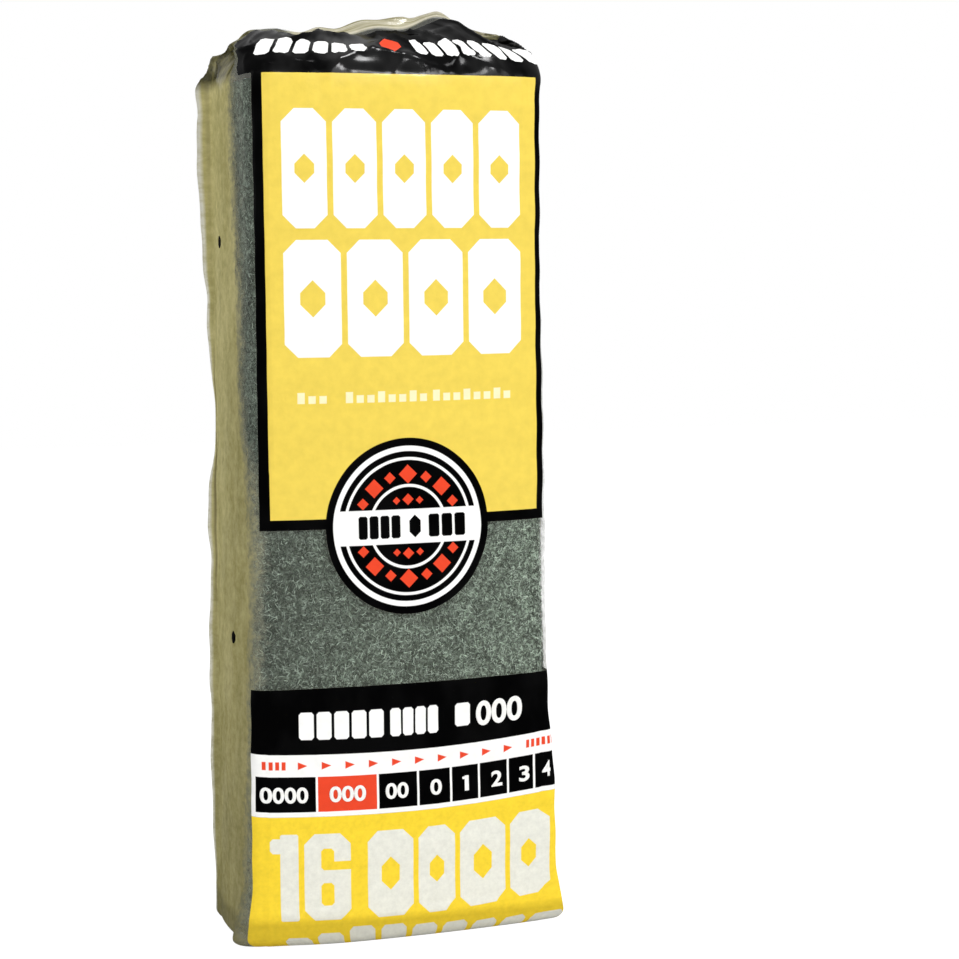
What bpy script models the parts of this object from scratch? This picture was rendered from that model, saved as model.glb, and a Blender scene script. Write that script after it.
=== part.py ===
"""A retail sleeve of sixteen steel wool pads, stacked and sealed in a printed clear film bag.

The pads are pressed into one tall stack. The film is a tube of constant girth round it, so where the
pack is pinched flatter it is also wider. It is folded flat under the stack, gathered into a gable above
it and closed there by a crimped fin. Two vent holes are punched in its left side.

Metres, +Z up, the front of the pack faces -Y, the origin is the centre of the base.
"""

import math

import bmesh
import bpy
from mathutils import Vector

# The stack of pads
PAD_COUNT = 16
PAD_THICKNESS = 0.01875  # one pad, pressed in the stack to three quarters of an inch with its gap
PAD_EDGE_RADIUS = 0.0022  # the soft edge round each face of a pad
PAD_FRONT_SLACK = 0.0010  # how much rounder a pad's front corners are than the film's
PAD_BACK_SLACK = 0.0080  # the same at the back, where the film's edges stand empty
PAD_CROWN_SHARE = 0.85  # the pads swell a little less than the film does
FIT_GAP = 0.0003  # pad to pad, and pad to film

# The film tube round the stack
FILM_WALL = 0.00015
HALF_GIRTH = 0.1685  # width plus depth, the same at every height
WIDTH_AT_BASE = 0.1180
WIDTH_AT_MIDDLE = 0.1105
WIDTH_AT_SHOULDER = 0.1080
FRONT_CORNER_RADIUS = 0.0060
BACK_CORNER_RADIUS = 0.0030
FRONT_CROWN = 0.0035  # how far the front panel swells
BACK_CROWN = 0.0020
SIDE_CROWN = 0.0018
LEFT_PLEAT = (  # how far the loose pleat stands off the left back edge: height, reach
    (0.000, 0.0008),
    (0.098, 0.0036),
    (0.128, 0.0026),
    (0.155, 0.0034),
    (0.187, 0.0004),
    (0.262, 0.0048),
    (0.302, 0.0050),
    (0.316, 0.0016),
)
RIGHT_SLACK = (  # the same off the right front edge, which ends below in the ear of the folded base
    (0.000, 0.0052),
    (0.022, 0.0024),
    (0.052, 0.0024),
    (0.082, 0.0006),
    (0.302, 0.0010),
    (0.316, 0.0002),
)
LEFT_EAR = ((0.000, 0.0046), (0.024, 0.0))  # the ear of the folded base at the left front edge
LAP_SEAM_WIDTH = 0.0100  # the overlap down the middle of the back
LAP_SEAM_STEP = 0.0004

# The folded base
BASE_FOLD_DEPTH = 0.0034  # the room of the folded film under the first pad
BASE_LIFT = 0.0010  # how far the left end of the base is held off the floor
BASE_LIFT_FROM = -0.0200
BASE_EDGE_RISE = 0.0050
BASE_EDGE_RUN = 0.0030
BASE_SEAM_WIDTH = 0.0040
BASE_SEAM_DEPTH = 0.0006
BASE_SEAM_FOOT = 0.3  # how much narrower the seam is at its deepest
BASE_LOOSE = 0.6  # how much of the loose film at the corners is left where it meets the floor

# The gathered top and its crimped fin
GABLE_RISE = 0.0176
RIDGE_WIDTH = 0.0990
RIDGE_DEPTH = 0.0030
RIDGE_SETBACK = 0.0030  # how far the ridge lies behind the middle of the pack
TUCK_DEPTH = 0.0110  # how far the gable's ends are folded in
HUMPS = ((-0.0430, 0.0022, 0.0120), (0.0240, 0.0050, 0.0130))  # the gathers: x, rise and spread
FIN_HEIGHT = 0.0070
FIN_LEFT = -0.0130  # between these the fin stands, beyond them it is tucked down
FIN_RIGHT = 0.0340
FIN_SLOPE = 0.0080
FIN_TUCKED = 0.25
FIN_FOOT = 0.12  # where on its height the fin reaches its full thinness
FIN_THICKNESS = 0.0012
FIN_LEAN_DEG = 62.0  # how far the fin is folded back from upright

# The vent holes in the left side
VENT_DIAMETER = 0.0030
VENT_CUTTER_DEPTH = 0.0100
VENTS = ((0.0120, 0.2534), (-0.0070, 0.1111))  # each hole's place: y, z

# The print, as heights above the floor and distances from the front's centre line
LABEL_LEFT = -0.0527
LABEL_RIGHT = 0.0538
LABEL_BOTTOM = 0.1512
LABEL_BORDER = 0.0037
TITLE_ROWS = ((0.2569, 0.2984, 5), (0.2119, 0.2529, 4))  # bottom, top and number of blocks
TITLE_LEFT = -0.0428
TITLE_RIGHT = 0.0452
TITLE_GAP = 0.0022
TITLE_CHAMFER = 0.0042
BADGE_X = 0.0008
BADGE_Z = 0.1512
BADGE_RADIUS = 0.0310
BADGE_RING = 0.0286
BADGE_RING_WIDTH = 0.0022
BADGE_BAND_HALF = 0.0060
BADGE_SIDES = 32
BAND_LEFT = -0.0570
BAND_TOP = 0.0943
BAND_BOTTOM = 0.0722
BAND_WRAP = 0.0150  # how far the lower print runs round the right side
SCALE_BOTTOM = 0.0496
CELL_BOTTOM = 0.0514
CELL_TOP = 0.0639
CELL_LEFT = -0.0545
CELL_RIGHT = 0.0590
CELL_SHARES = (22.0, 21.0, 15.5, 11.5, 10.5, 11.2, 9.5, 9.5)  # relative widths of the grade cells
MARKED_CELL = 1
CELL_GAP = 0.0008
COUNT_BLOCKS = (
    (-0.0500, -0.0410),
    (-0.0385, -0.0220),
    (-0.0155, 0.0015),
    (0.0035, 0.0175),
    (0.0195, 0.0375),
    (0.0395, 0.0545),
)
COUNT_BOTTOM = 0.0105
COUNT_TOP = 0.0410

# How finely the forms are divided
PANEL_COLUMNS = 4
SIDE_COLUMNS = 3
CORNER_SEGMENTS = 3
BASE_EDGE_RINGS = 3
GABLE_RINGS = 5
BODY_RINGS = 18

PAD_PITCH = PAD_THICKNESS + FIT_GAP
STACK_BOTTOM = BASE_FOLD_DEPTH + BASE_SEAM_DEPTH + FILM_WALL + FIT_GAP
STACK_TOP = STACK_BOTTOM + PAD_COUNT * PAD_PITCH - FIT_GAP
SHOULDER = STACK_TOP + FIT_GAP  # where the film leaves the stack and starts to gather


def clear_scene():
    for old in list(bpy.data.objects):
        bpy.data.objects.remove(old)


def new_collection(name):
    collection = bpy.data.collections.new(name)
    bpy.context.scene.collection.children.link(collection)
    return collection


def material(name, colour, roughness, metallic=0.0, alpha=1.0):
    made = bpy.data.materials.new(name)
    made.use_nodes = True
    shader = made.node_tree.nodes["Principled BSDF"]
    shader.inputs["Base Color"].default_value = (*colour, 1.0)
    shader.inputs["Roughness"].default_value = roughness
    shader.inputs["Metallic"].default_value = metallic
    shader.inputs["Alpha"].default_value = alpha
    return made


def through_three(z, at_base, at_middle, at_shoulder):
    """The smooth curve through a size given at the base, half way up and at the shoulder."""
    t = min(max(z / SHOULDER, 0.0), 1.0)
    return at_base * (1 - t) * (1 - 2 * t) + at_middle * 4 * t * (1 - t) + at_shoulder * t * (2 * t - 1)


def width_at(z):
    return through_three(z, WIDTH_AT_BASE, WIDTH_AT_MIDDLE, WIDTH_AT_SHOULDER)


def depth_at(z):
    return HALF_GIRTH - width_at(z)


def at_height(profile, z):
    """The value at this height of a profile of (height, value) pairs, eased from each to the next."""
    for (low, start), (high, end) in zip(profile, profile[1:]):
        if z <= high:
            t = max(z - low, 0.0) / (high - low)
            return start + (end - start) * t * t * (3 - 2 * t)
    return profile[-1][1]


def outline(width, depth, front_radius, back_radius, crown=1.0, loose=(0.0, 0.0, 0.0), tuck=0.0):
    """One level section as a list of (x, y), from the left end of the front round by the right side.

    crown scales how far the panels swell. loose is how far the right front, left back and left front
    corners are drawn out sideways, and tuck how far the middle of each side is folded in.
    """
    slack, pleat, ear = loose
    half_x = width / 2
    half_y = depth / 2
    front = min(front_radius, 0.45 * depth)
    back = min(back_radius, 0.45 * depth)
    side_swell = crown * SIDE_CROWN

    def panel(start, end, y, swell, radius):
        reach = half_x - radius
        points = []
        for i in range(PANEL_COLUMNS + 1):
            x = start * reach + (end - start) * reach * i / PANEL_COLUMNS
            points.append((x, y + crown * swell * (1 - (x / half_x) ** 2)))
        return points

    def corner(centre_x, centre_y, radius, from_deg, drawn_out=0.0):
        points = []
        for i in range(1, CORNER_SEGMENTS):
            a = math.radians(from_deg + 90.0 * i / CORNER_SEGMENTS)
            points.append((centre_x + drawn_out + radius * math.cos(a), centre_y + radius * math.sin(a)))
        return points

    def side(sign, start_y, end_y):
        points = []
        middle = (start_y + end_y) / 2
        for i in range(SIDE_COLUMNS + 1):
            y = start_y + (end_y - start_y) * i / SIDE_COLUMNS
            share = (y - middle) / (end_y - start_y) * 2
            bow = side_swell * (1 - share**2) - tuck * (1 - abs(share))
            points.append((sign * (half_x + bow), y))
        return points

    points = panel(-1, 1, -half_y, -FRONT_CROWN, front)
    points += corner(half_x - front, -half_y + front, front, -90, slack)
    points += side(1, -half_y + front, half_y - back)
    points += corner(half_x - back, half_y - back, back, 0)
    points += panel(1, -1, half_y, BACK_CROWN, back)
    points += corner(-half_x + back, half_y - back, back, 90, -pleat)
    points += side(-1, half_y - back, -half_y + front)
    points += corner(-half_x + front, -half_y + front, front, 180, -ear)
    return points


def film_section(z, width, depth, front_radius, back_radius, crown=1.0, loose=1.0, tuck=0.0):
    """The film's section: an outline with loose film at two corners and the lap seam down the back."""
    drawn_out = [loose * at_height(profile, z) for profile in (RIGHT_SLACK, LEFT_PLEAT, LEFT_EAR)]
    points = outline(width, depth, front_radius, back_radius, crown, drawn_out, tuck)
    rear_middle = PANEL_COLUMNS + 2 * CORNER_SEGMENTS + SIDE_COLUMNS + PANEL_COLUMNS // 2
    level = points[rear_middle][1]
    edge = LAP_SEAM_WIDTH / 2
    top = edge - LAP_SEAM_STEP
    raised = level + crown * LAP_SEAM_STEP
    seam = [(edge, level), (top, raised), (-top, raised), (-edge, level)]
    return points[:rear_middle] + seam + points[rear_middle + 1 :]


def loft(rings):
    """A closed bmesh through rings of equal length, listed from the bottom up, with both ends filled."""
    bm = bmesh.new()
    loops = [[bm.verts.new(point) for point in ring] for ring in rings]
    for lower, upper in zip(loops, loops[1:]):
        for i, corner in enumerate(lower):
            j = (i + 1) % len(lower)
            bm.faces.new((corner, lower[j], upper[j], upper[i]))
    for loop in (loops[0], loops[-1]):
        edges = [bm.edges.get((a, b)) for a, b in zip(loop, loop[1:] + loop[:1])]
        bmesh.ops.contextual_create(bm, geom=edges)
    bmesh.ops.recalc_face_normals(bm, faces=bm.faces)
    return bm


def level_ring(points, z, scale_x=1.0, scale_y=1.0, shift_y=0.0):
    return [Vector((x * scale_x, y * scale_y + shift_y, z)) for x, y in points]


def lifted(ring):
    """A base ring with its left end raised off the floor, less so the higher up the edge it is."""
    left_end = -width_at(0) / 2
    placed = []
    for p in ring:
        t = min(max((p.x - BASE_LIFT_FROM) / (left_end - BASE_LIFT_FROM), 0.0), 1.0)
        rise = BASE_LIFT * t * t * (3 - 2 * t) * (1 - p.z / BASE_EDGE_RISE)
        placed.append(p + Vector((0, 0, rise)))
    return placed


def base_rings():
    """The underside, from the sunken seam outwards, then up round the soft bottom edge."""
    width = width_at(0) - 2 * BASE_EDGE_RUN
    depth = depth_at(0) - 2 * BASE_EDGE_RUN
    radius = FRONT_CORNER_RADIUS - BASE_EDGE_RUN / 2
    flat = film_section(0.0, width, depth, radius, radius, loose=0.0)
    seam = BASE_SEAM_WIDTH / depth
    hip = 1 - depth / width
    rings = [
        level_ring(flat, BASE_SEAM_DEPTH, hip, BASE_SEAM_FOOT * seam),
        level_ring(flat, 0.0, hip, seam),
        level_ring(flat, 0.0, (1 + hip) / 2, (1 + seam) / 2),
    ]
    for i in range(BASE_EDGE_RINGS):
        a = math.radians(90 * (1 - i / BASE_EDGE_RINGS))
        inset = BASE_EDGE_RUN * (1 - math.cos(a))
        z = BASE_EDGE_RISE * (1 - math.sin(a))
        out = 1 - inset / BASE_EDGE_RUN
        section = film_section(
            z,
            width_at(z) - 2 * inset,
            depth_at(z) - 2 * inset,
            FRONT_CORNER_RADIUS - inset / 2,
            radius + (BACK_CORNER_RADIUS - radius) * out,
            loose=BASE_LOOSE + (1 - BASE_LOOSE) * out,
        )
        rings.append(level_ring(section, z))
    return [lifted(ring) for ring in rings]


def body_rings():
    rings = []
    for i in range(BODY_RINGS + 1):
        z = BASE_EDGE_RISE + (SHOULDER - BASE_EDGE_RISE) * i / BODY_RINGS
        section = film_section(z, width_at(z), depth_at(z), FRONT_CORNER_RADIUS, BACK_CORNER_RADIUS)
        rings.append(level_ring(section, z))
    return rings


def hump(x, share):
    """How much higher the gathers stand at x, on a ring that is this share of the way to the ridge."""
    return sum(share**2 * rise * math.exp(-(((x - at) / spread) ** 2)) for at, rise, spread in HUMPS)


def fin_share(x):
    """How much of its height the fin stands up at x."""
    past = max(FIN_LEFT - x, x - FIN_RIGHT, 0.0) / FIN_SLOPE
    return FIN_TUCKED + (1 - FIN_TUCKED) * max(0.0, 1 - past)


def gable_depth(share):
    """The gable's depth, this share of the quarter turn from the shoulder to the ridge."""
    return RIDGE_DEPTH + (depth_at(SHOULDER) - RIDGE_DEPTH) * math.cos(math.radians(90 * share))


def top_rings():
    """The gable over the stack, with its tucked ends, then the flat crimped fin, folded back."""
    rings = []
    for i in range(1, GABLE_RINGS + 1):
        share = i / GABLE_RINGS
        a = math.radians(90 * share)
        z = SHOULDER + GABLE_RISE * math.sin(a)
        section = film_section(
            z,
            RIDGE_WIDTH + (width_at(SHOULDER) - RIDGE_WIDTH) * math.cos(a),
            gable_depth(share),
            FRONT_CORNER_RADIUS,
            BACK_CORNER_RADIUS,
            crown=math.cos(a),
            loose=math.cos(a),
            tuck=TUCK_DEPTH * share,
        )
        ring = level_ring(section, z, shift_y=RIDGE_SETBACK * share)
        rings.append([p + Vector((0, 0, hump(p.x, share))) for p in ring])
    lean = math.radians(FIN_LEAN_DEG)
    along = Vector((0, math.sin(lean), math.cos(lean)))
    across = Vector((0, math.cos(lean), -math.sin(lean)))
    ridge = rings[-1]
    for share in (FIN_FOOT, 1.0):
        ring = []
        for p in ridge:
            side = (p.y - RIDGE_SETBACK) / RIDGE_DEPTH
            foot = Vector((p.x, RIDGE_SETBACK, p.z))
            reach = FIN_HEIGHT * share * fin_share(p.x)
            ring.append(foot + along * reach + across * side * FIN_THICKNESS)
        rings.append(ring)
    return rings


def chamfered(left, right, bottom, top, chamfer=0.0):
    """A rectangle's corners, as (x, z), with each corner cut off."""
    c = chamfer
    if c <= 0:
        return [(left, bottom), (right, bottom), (right, top), (left, top)]
    return [
        (left + c, bottom),
        (right - c, bottom),
        (right, bottom + c),
        (right, top - c),
        (right - c, top),
        (left + c, top),
        (left, top - c),
        (left, bottom + c),
    ]


def disc(x, z, radius):
    turn = 2 * math.pi / BADGE_SIDES
    return [(x + radius * math.cos(i * turn), z + radius * math.sin(i * turn)) for i in range(BADGE_SIDES)]


def print_field(bm, corners, ink, wrap=0.0):
    """Cuts a convex outline, given as (x, z), into the front of the film and gives its faces an ink.

    wrap lets the field run that far round the right side.
    """
    margin = FIT_GAP
    low_x = min(x for x, z in corners) - margin
    high_x = max(x for x, z in corners) + margin
    low_z = min(z for x, z in corners) - margin
    high_z = max(z for x, z in corners) + margin

    def near():
        found = []
        for face in bm.faces:
            xs = [v.co.x for v in face.verts]
            zs = [v.co.z for v in face.verts]
            level = face.calc_center_median()
            front = level.y < -depth_at(level.z) / 2 + max(FRONT_CORNER_RADIUS, wrap)
            if front and min(xs) < high_x and max(xs) > low_x and min(zs) < high_z and max(zs) > low_z:
                found.append(face)
        return found

    cuts = []
    for (x0, z0), (x1, z1) in zip(corners, corners[1:] + corners[:1]):
        cuts.append((Vector((x0, 0, z0)), Vector((z1 - z0, 0, x0 - x1)).normalized()))
    if wrap:
        cuts.append((Vector((0, -depth_at((low_z + high_z) / 2) / 2 + wrap, 0)), Vector((0, 1, 0))))
    for point, outwards in cuts:
        faces = near()
        edges = {edge for face in faces for edge in face.edges}
        verts = {vert for face in faces for vert in face.verts}
        bmesh.ops.bisect_plane(
            bm, geom=list(verts) + list(edges) + faces, plane_co=point, plane_no=outwards, dist=1e-5
        )
    for face in near():
        middle = face.calc_center_median()
        if all((middle - point).dot(outwards) < 0 for point, outwards in cuts):
            face.material_index = ink


def print_front(bm, inks):
    """Every printed field of the front, the large ones first."""
    label = (LABEL_LEFT, LABEL_RIGHT, LABEL_BOTTOM, SHOULDER)
    print_field(bm, chamfered(*label), inks["black"])
    inner = (LABEL_LEFT + LABEL_BORDER, LABEL_RIGHT - LABEL_BORDER, LABEL_BOTTOM + LABEL_BORDER, SHOULDER)
    print_field(bm, chamfered(*inner), inks["yellow"])
    for bottom, top, count in TITLE_ROWS:
        step = (TITLE_RIGHT - TITLE_LEFT + TITLE_GAP) / count
        for i in range(count):
            left = TITLE_LEFT + i * step
            block = chamfered(left, left + step - TITLE_GAP, bottom, top, TITLE_CHAMFER)
            print_field(bm, block, inks["white"])
    print_field(bm, disc(BADGE_X, BADGE_Z, BADGE_RADIUS), inks["black"])
    print_field(bm, disc(BADGE_X, BADGE_Z, BADGE_RING), inks["white"])
    print_field(bm, disc(BADGE_X, BADGE_Z, BADGE_RING - BADGE_RING_WIDTH), inks["black"])
    reach = BADGE_RING - BADGE_RING_WIDTH
    stripe_bottom = BADGE_Z - BADGE_BAND_HALF
    stripe_top = BADGE_Z + BADGE_BAND_HALF
    stripe = chamfered(BADGE_X - reach, BADGE_X + reach, stripe_bottom, stripe_top, BADGE_BAND_HALF / 2)
    print_field(bm, stripe, inks["white"])
    past_right = WIDTH_AT_BASE
    levels = (0.0, SCALE_BOTTOM, BAND_BOTTOM, BAND_TOP)
    for ink, bottom, top in zip(("yellow", "white", "black"), levels, levels[1:]):
        print_field(bm, chamfered(BAND_LEFT, past_right, bottom, top), inks[ink], wrap=BAND_WRAP)
    print_cells(bm, inks)
    for left, right in COUNT_BLOCKS:
        print_field(bm, chamfered(left, right, COUNT_BOTTOM, COUNT_TOP, TITLE_CHAMFER), inks["white"])


def print_cells(bm, inks):
    """The row of grade cells, one of them marked."""
    room = CELL_RIGHT - CELL_LEFT + CELL_GAP
    left = CELL_LEFT
    for i, share in enumerate(CELL_SHARES):
        right = left + room * share / sum(CELL_SHARES) - CELL_GAP
        ink = inks["red"] if i == MARKED_CELL else inks["black"]
        print_field(bm, chamfered(left, right, CELL_BOTTOM, CELL_TOP), ink)
        left = right + CELL_GAP


def print_top_band(bm, ink):
    """Above the shoulder the front of the gable is black, up to the clear fin."""
    for face in bm.faces:
        middle = face.calc_center_median()
        rise = (middle.z - SHOULDER) / (GABLE_RISE + hump(middle.x, 1.0))
        if 0 < rise < 1:
            share = math.asin(rise) * 2 / math.pi
            front_edge = RIDGE_SETBACK * share - gable_depth(share) / 2
            if middle.y < front_edge + FRONT_CORNER_RADIUS:
                face.material_index = ink


def add_object(name, bm, collection, materials):
    mesh = bpy.data.meshes.new(name)
    bm.to_mesh(mesh)
    bm.free()
    made = bpy.data.objects.new(name, mesh)
    collection.objects.link(made)
    for each in materials:
        mesh.materials.append(each)
    mesh.shade_smooth()
    mesh.set_sharp_from_angle(angle=math.radians(40))
    return made


def vent_cutters(collection):
    cutters = []
    for i, (y, z) in enumerate(VENTS, 1):
        bm = bmesh.new()
        r = VENT_DIAMETER / 2
        bmesh.ops.create_cone(bm, cap_ends=True, segments=12, radius1=r, radius2=r, depth=VENT_CUTTER_DEPTH)
        cutter = add_object(f"vent_cutter_{i}", bm, collection, [])
        cutter.rotation_euler = (0, math.pi / 2, 0)
        cutter.location = (-width_at(z) / 2 - SIDE_CROWN / 2, y, z)
        cutter.hide_render = True
        cutter.display_type = "WIRE"
        cutters.append(cutter)
    return cutters


def make_film(collection, cutter_collection):
    names = ["clear", "black", "yellow", "white", "red"]
    colours = {
        "clear": ((0.62, 0.60, 0.45), 0.15, 0.45),
        "black": ((0.006, 0.006, 0.006), 0.22, 1.0),
        "yellow": ((0.90, 0.68, 0.11), 0.25, 1.0),
        "white": ((0.90, 0.90, 0.87), 0.25, 1.0),
        "red": ((0.80, 0.09, 0.04), 0.25, 1.0),
    }
    materials = [material(f"film_{n}", colours[n][0], colours[n][1], alpha=colours[n][2]) for n in names]
    inks = {name: i for i, name in enumerate(names)}
    bm = loft(base_rings() + body_rings() + top_rings())
    print_top_band(bm, inks["black"])
    print_front(bm, inks)
    bmesh.ops.triangulate(bm, faces=bm.faces)
    film = add_object("film_sleeve", bm, collection, materials)
    wall = film.modifiers.new("wall", "SOLIDIFY")
    wall.thickness = FILM_WALL
    wall.offset = -1.0
    wall.use_even_offset = True
    for cutter in vent_cutters(cutter_collection):
        punch = film.modifiers.new("punch", "BOOLEAN")
        punch.operation = "DIFFERENCE"
        punch.object = cutter
    return film


def base_inset(z):
    """How far the film's soft bottom edge pushes in at a height."""
    if z >= BASE_EDGE_RISE:
        return 0.0
    rise = 1 - z / BASE_EDGE_RISE
    return BASE_EDGE_RUN * (1 - math.sqrt(1 - rise**2))


def pad_ring(z, inset):
    """A pad's section: the film's own section, less the film, the clearance and this inset."""
    pushed = base_inset(z)
    inwards = 2 * (FILM_WALL + FIT_GAP + inset + pushed)
    front = FRONT_CORNER_RADIUS + PAD_FRONT_SLACK
    back = BACK_CORNER_RADIUS + PAD_BACK_SLACK
    crown = PAD_CROWN_SHARE
    return level_ring(outline(width_at(z) - inwards, depth_at(z) - inwards, front, back, crown), z)


def make_pad(number, collection, wool):
    bottom = STACK_BOTTOM + (number - 1) * PAD_PITCH
    top = bottom + PAD_THICKNESS
    r = PAD_EDGE_RADIUS
    heights = [(bottom, r), (bottom + 0.3 * r, 0.3 * r), (bottom + r, 0.0)]
    if number == 1 and BASE_EDGE_RISE > bottom + r:
        heights.append((BASE_EDGE_RISE, 0.0))
    heights += [(top - r, 0.0), (top - 0.3 * r, 0.3 * r), (top, r)]
    bm = loft([pad_ring(z, inset) for z, inset in heights])
    return add_object(f"pad_{number:02d}", bm, collection, [wool])


def main():
    clear_scene()
    pack = new_collection("steel_wool_pad_pack")
    cutters = new_collection("cutters")
    make_film(pack, cutters)
    wool = material("steel_wool", (0.13, 0.15, 0.12), 0.55, metallic=0.6)
    for number in range(1, PAD_COUNT + 1):
        make_pad(number, pack, wool)


main()
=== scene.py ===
# %% [markdown]
# # A sleeve of sixteen steel wool pads
# The object is a tall retail pack: soft pads of steel wool stacked in a tube of clear printed film. The
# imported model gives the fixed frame, with one node for the film and one for each pad. This script dresses
# that frame: it makes a finer film and finer pads in the same places, and gives each its finish.

# %% Load the fixed frame
import math
import random
from collections import namedtuple
from functools import partial

import bmesh
import bpy
from mathutils import Matrix, Vector, noise
from mathutils.bvhtree import BVHTree


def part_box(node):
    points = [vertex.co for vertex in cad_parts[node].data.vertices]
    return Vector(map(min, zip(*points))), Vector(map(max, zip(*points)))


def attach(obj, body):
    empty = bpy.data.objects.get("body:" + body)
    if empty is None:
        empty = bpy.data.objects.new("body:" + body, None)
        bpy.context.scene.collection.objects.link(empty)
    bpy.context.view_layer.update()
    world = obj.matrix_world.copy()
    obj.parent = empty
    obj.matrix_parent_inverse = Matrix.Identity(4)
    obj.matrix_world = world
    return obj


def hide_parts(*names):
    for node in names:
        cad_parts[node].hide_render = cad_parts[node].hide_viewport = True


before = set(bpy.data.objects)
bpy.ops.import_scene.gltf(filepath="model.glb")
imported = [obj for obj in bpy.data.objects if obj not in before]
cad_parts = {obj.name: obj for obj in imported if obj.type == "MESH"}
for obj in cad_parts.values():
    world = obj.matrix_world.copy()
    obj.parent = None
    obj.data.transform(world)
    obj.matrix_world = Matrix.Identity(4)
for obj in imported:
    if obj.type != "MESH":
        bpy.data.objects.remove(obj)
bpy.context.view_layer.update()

PAD_NODES = sorted(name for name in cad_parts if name.startswith("pad_"))
STACK_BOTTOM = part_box(PAD_NODES[0])[0].z

# %% [markdown]
# ## The camera
# The view was found by fitting a pinhole camera to the printed edges and corners in the photograph. A
# camera is easiest to reason about as a target on the object, a direction back from it, a distance and a
# roll, so those four are the values kept here. The lens follows from the focal length in pixels.

# %% Place the camera
FRAME_PX = 959
FOCAL_PX = 2316.0
SENSOR_MM = 36.0
TARGET = Vector((0.0392, 0.0, 0.1639))
AZIMUTH_DEG = -19.04
ELEVATION_DEG = 4.38
ROLL_DEG = -0.80
DISTANCE = 0.8693


def add_camera():
    azimuth = math.radians(AZIMUTH_DEG)
    elevation = math.radians(ELEVATION_DEG)
    back = Vector((math.sin(azimuth), -math.cos(azimuth), math.tan(elevation))).normalized()
    level = Vector((0, 0, 1)).cross(back).normalized()
    upright = back.cross(level)
    roll = math.radians(ROLL_DEG)
    right = level * math.cos(roll) + upright * math.sin(roll)
    up = upright * math.cos(roll) - level * math.sin(roll)
    data = bpy.data.cameras.new("view")
    data.sensor_width = SENSOR_MM
    data.lens = SENSOR_MM * FOCAL_PX / FRAME_PX
    camera = bpy.data.objects.new("view", data)
    turned = Matrix((right, up, back)).transposed().to_4x4()
    camera.matrix_world = Matrix.Translation(TARGET + back * DISTANCE) @ turned
    bpy.context.scene.collection.objects.link(camera)
    bpy.context.scene.camera = camera
    print("camera: lens", round(data.lens, 1), "mm at", tuple(round(c, 3) for c in camera.location))


add_camera()

# %% [markdown]
# ## The shape of the pack
# A film tube keeps its girth, so where the pack is pinched flatter it is also wider. Every level section
# is a rectangle with round corners, and a point on the film is found from two flat coordinates: u runs
# round the pack from the middle of the front, and v runs up it. The film, the pads, the fibres and the
# print all use the same walk round the section, so they fit each other.

# %% Sizes and the walk round a section
HALF_GIRTH = 0.1685
WIDTH_AT_BASE = 0.1180
WIDTH_AT_MIDDLE = 0.1105
WIDTH_AT_SHOULDER = 0.1080
FRONT_CORNER = 0.0060
BACK_CORNER = 0.0030
FRONT_CROWN = 0.0035
BACK_CROWN = 0.0020
SIDE_CROWN = 0.0018
FIT_GAP = 0.0003
SHOULDER = max(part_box(node)[1].z for node in PAD_NODES) + FIT_GAP
BASE_EDGE_RISE = 0.0050
BASE_EDGE_RUN = 0.0030
HALF_TURN = HALF_GIRTH - (2 - math.pi / 2) * (FRONT_CORNER + BACK_CORNER)  # u from front to back


def through_three(z, at_base, at_middle, at_shoulder):
    t = min(max(z / SHOULDER, 0.0), 1.0)
    return at_base * (1 - t) * (1 - 2 * t) + at_middle * 4 * t * (1 - t) + at_shoulder * t * (2 * t - 1)


def width_at(z):
    return through_three(z, WIDTH_AT_BASE, WIDTH_AT_MIDDLE, WIDTH_AT_SHOULDER)


def depth_at(z):
    return HALF_GIRTH - width_at(z)


def around(turn, width, depth, front=FRONT_CORNER, back=BACK_CORNER, swell=1.0, tuck=0.0):
    """The (x, y) at a share of the way round: 0 is the middle of the front, 1 and -1 that of the back."""
    front = min(front, 0.45 * depth)
    back = min(back, 0.45 * depth)
    half_x, half_y = width / 2, depth / 2
    side = depth - front - back
    front_arc, back_arc = front * math.pi / 2, back * math.pi / 2
    left = abs(turn) * (half_x - front + front_arc + side + back_arc + half_x - back)
    if left <= half_x - front:
        x, y = left, -half_y - swell * FRONT_CROWN * (1 - (left / half_x) ** 2)
    elif left <= half_x - front + front_arc:
        a = (left - half_x + front) / front
        x, y = half_x - front + front * math.sin(a), front - half_y - front * math.cos(a)
    elif left <= half_x - front + front_arc + side:
        along = (left - half_x + front - front_arc) / side
        share = abs(2 * along - 1)
        x = half_x + swell * SIDE_CROWN * (1 - share**2) - tuck * (1 - share)
        y = front - half_y + along * side
    elif left <= half_x - front + front_arc + side + back_arc:
        a = (left - half_x + front - front_arc - side) / back
        x, y = half_x - back + back * math.cos(a), half_y - back + back * math.sin(a)
    else:
        x = half_x - back - (left - half_x + front - front_arc - side - back_arc)
        y = half_y + swell * BACK_CROWN * (1 - (x / half_x) ** 2)
    return math.copysign(x, turn), y


def corner_turns(width, depth, front=FRONT_CORNER, back=BACK_CORNER):
    """The shares of the way round at which the middles of the front and back corners lie."""
    front_arc, back_arc = front * math.pi / 2, back * math.pi / 2
    at_front = width / 2 - front + front_arc / 2
    at_back = at_front + front_arc / 2 + depth - front - back + back_arc / 2
    whole = at_back + back_arc / 2 + width / 2 - back
    return at_front / whole, at_back / whole


print("shape: shoulder at", round(SHOULDER, 4), "half turn", round(HALF_TURN, 4))

# %% [markdown]
# ## The rows of the film
# The film is lofted from level rows. Under the stack they close in on a folded seam, then they turn up
# round a soft edge, climb the stack, and over the shoulder they follow a quarter turn to the ridge, where
# the tube is pressed flat into a crimped fin. A row is a few numbers, so a named tuple is enough.

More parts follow.
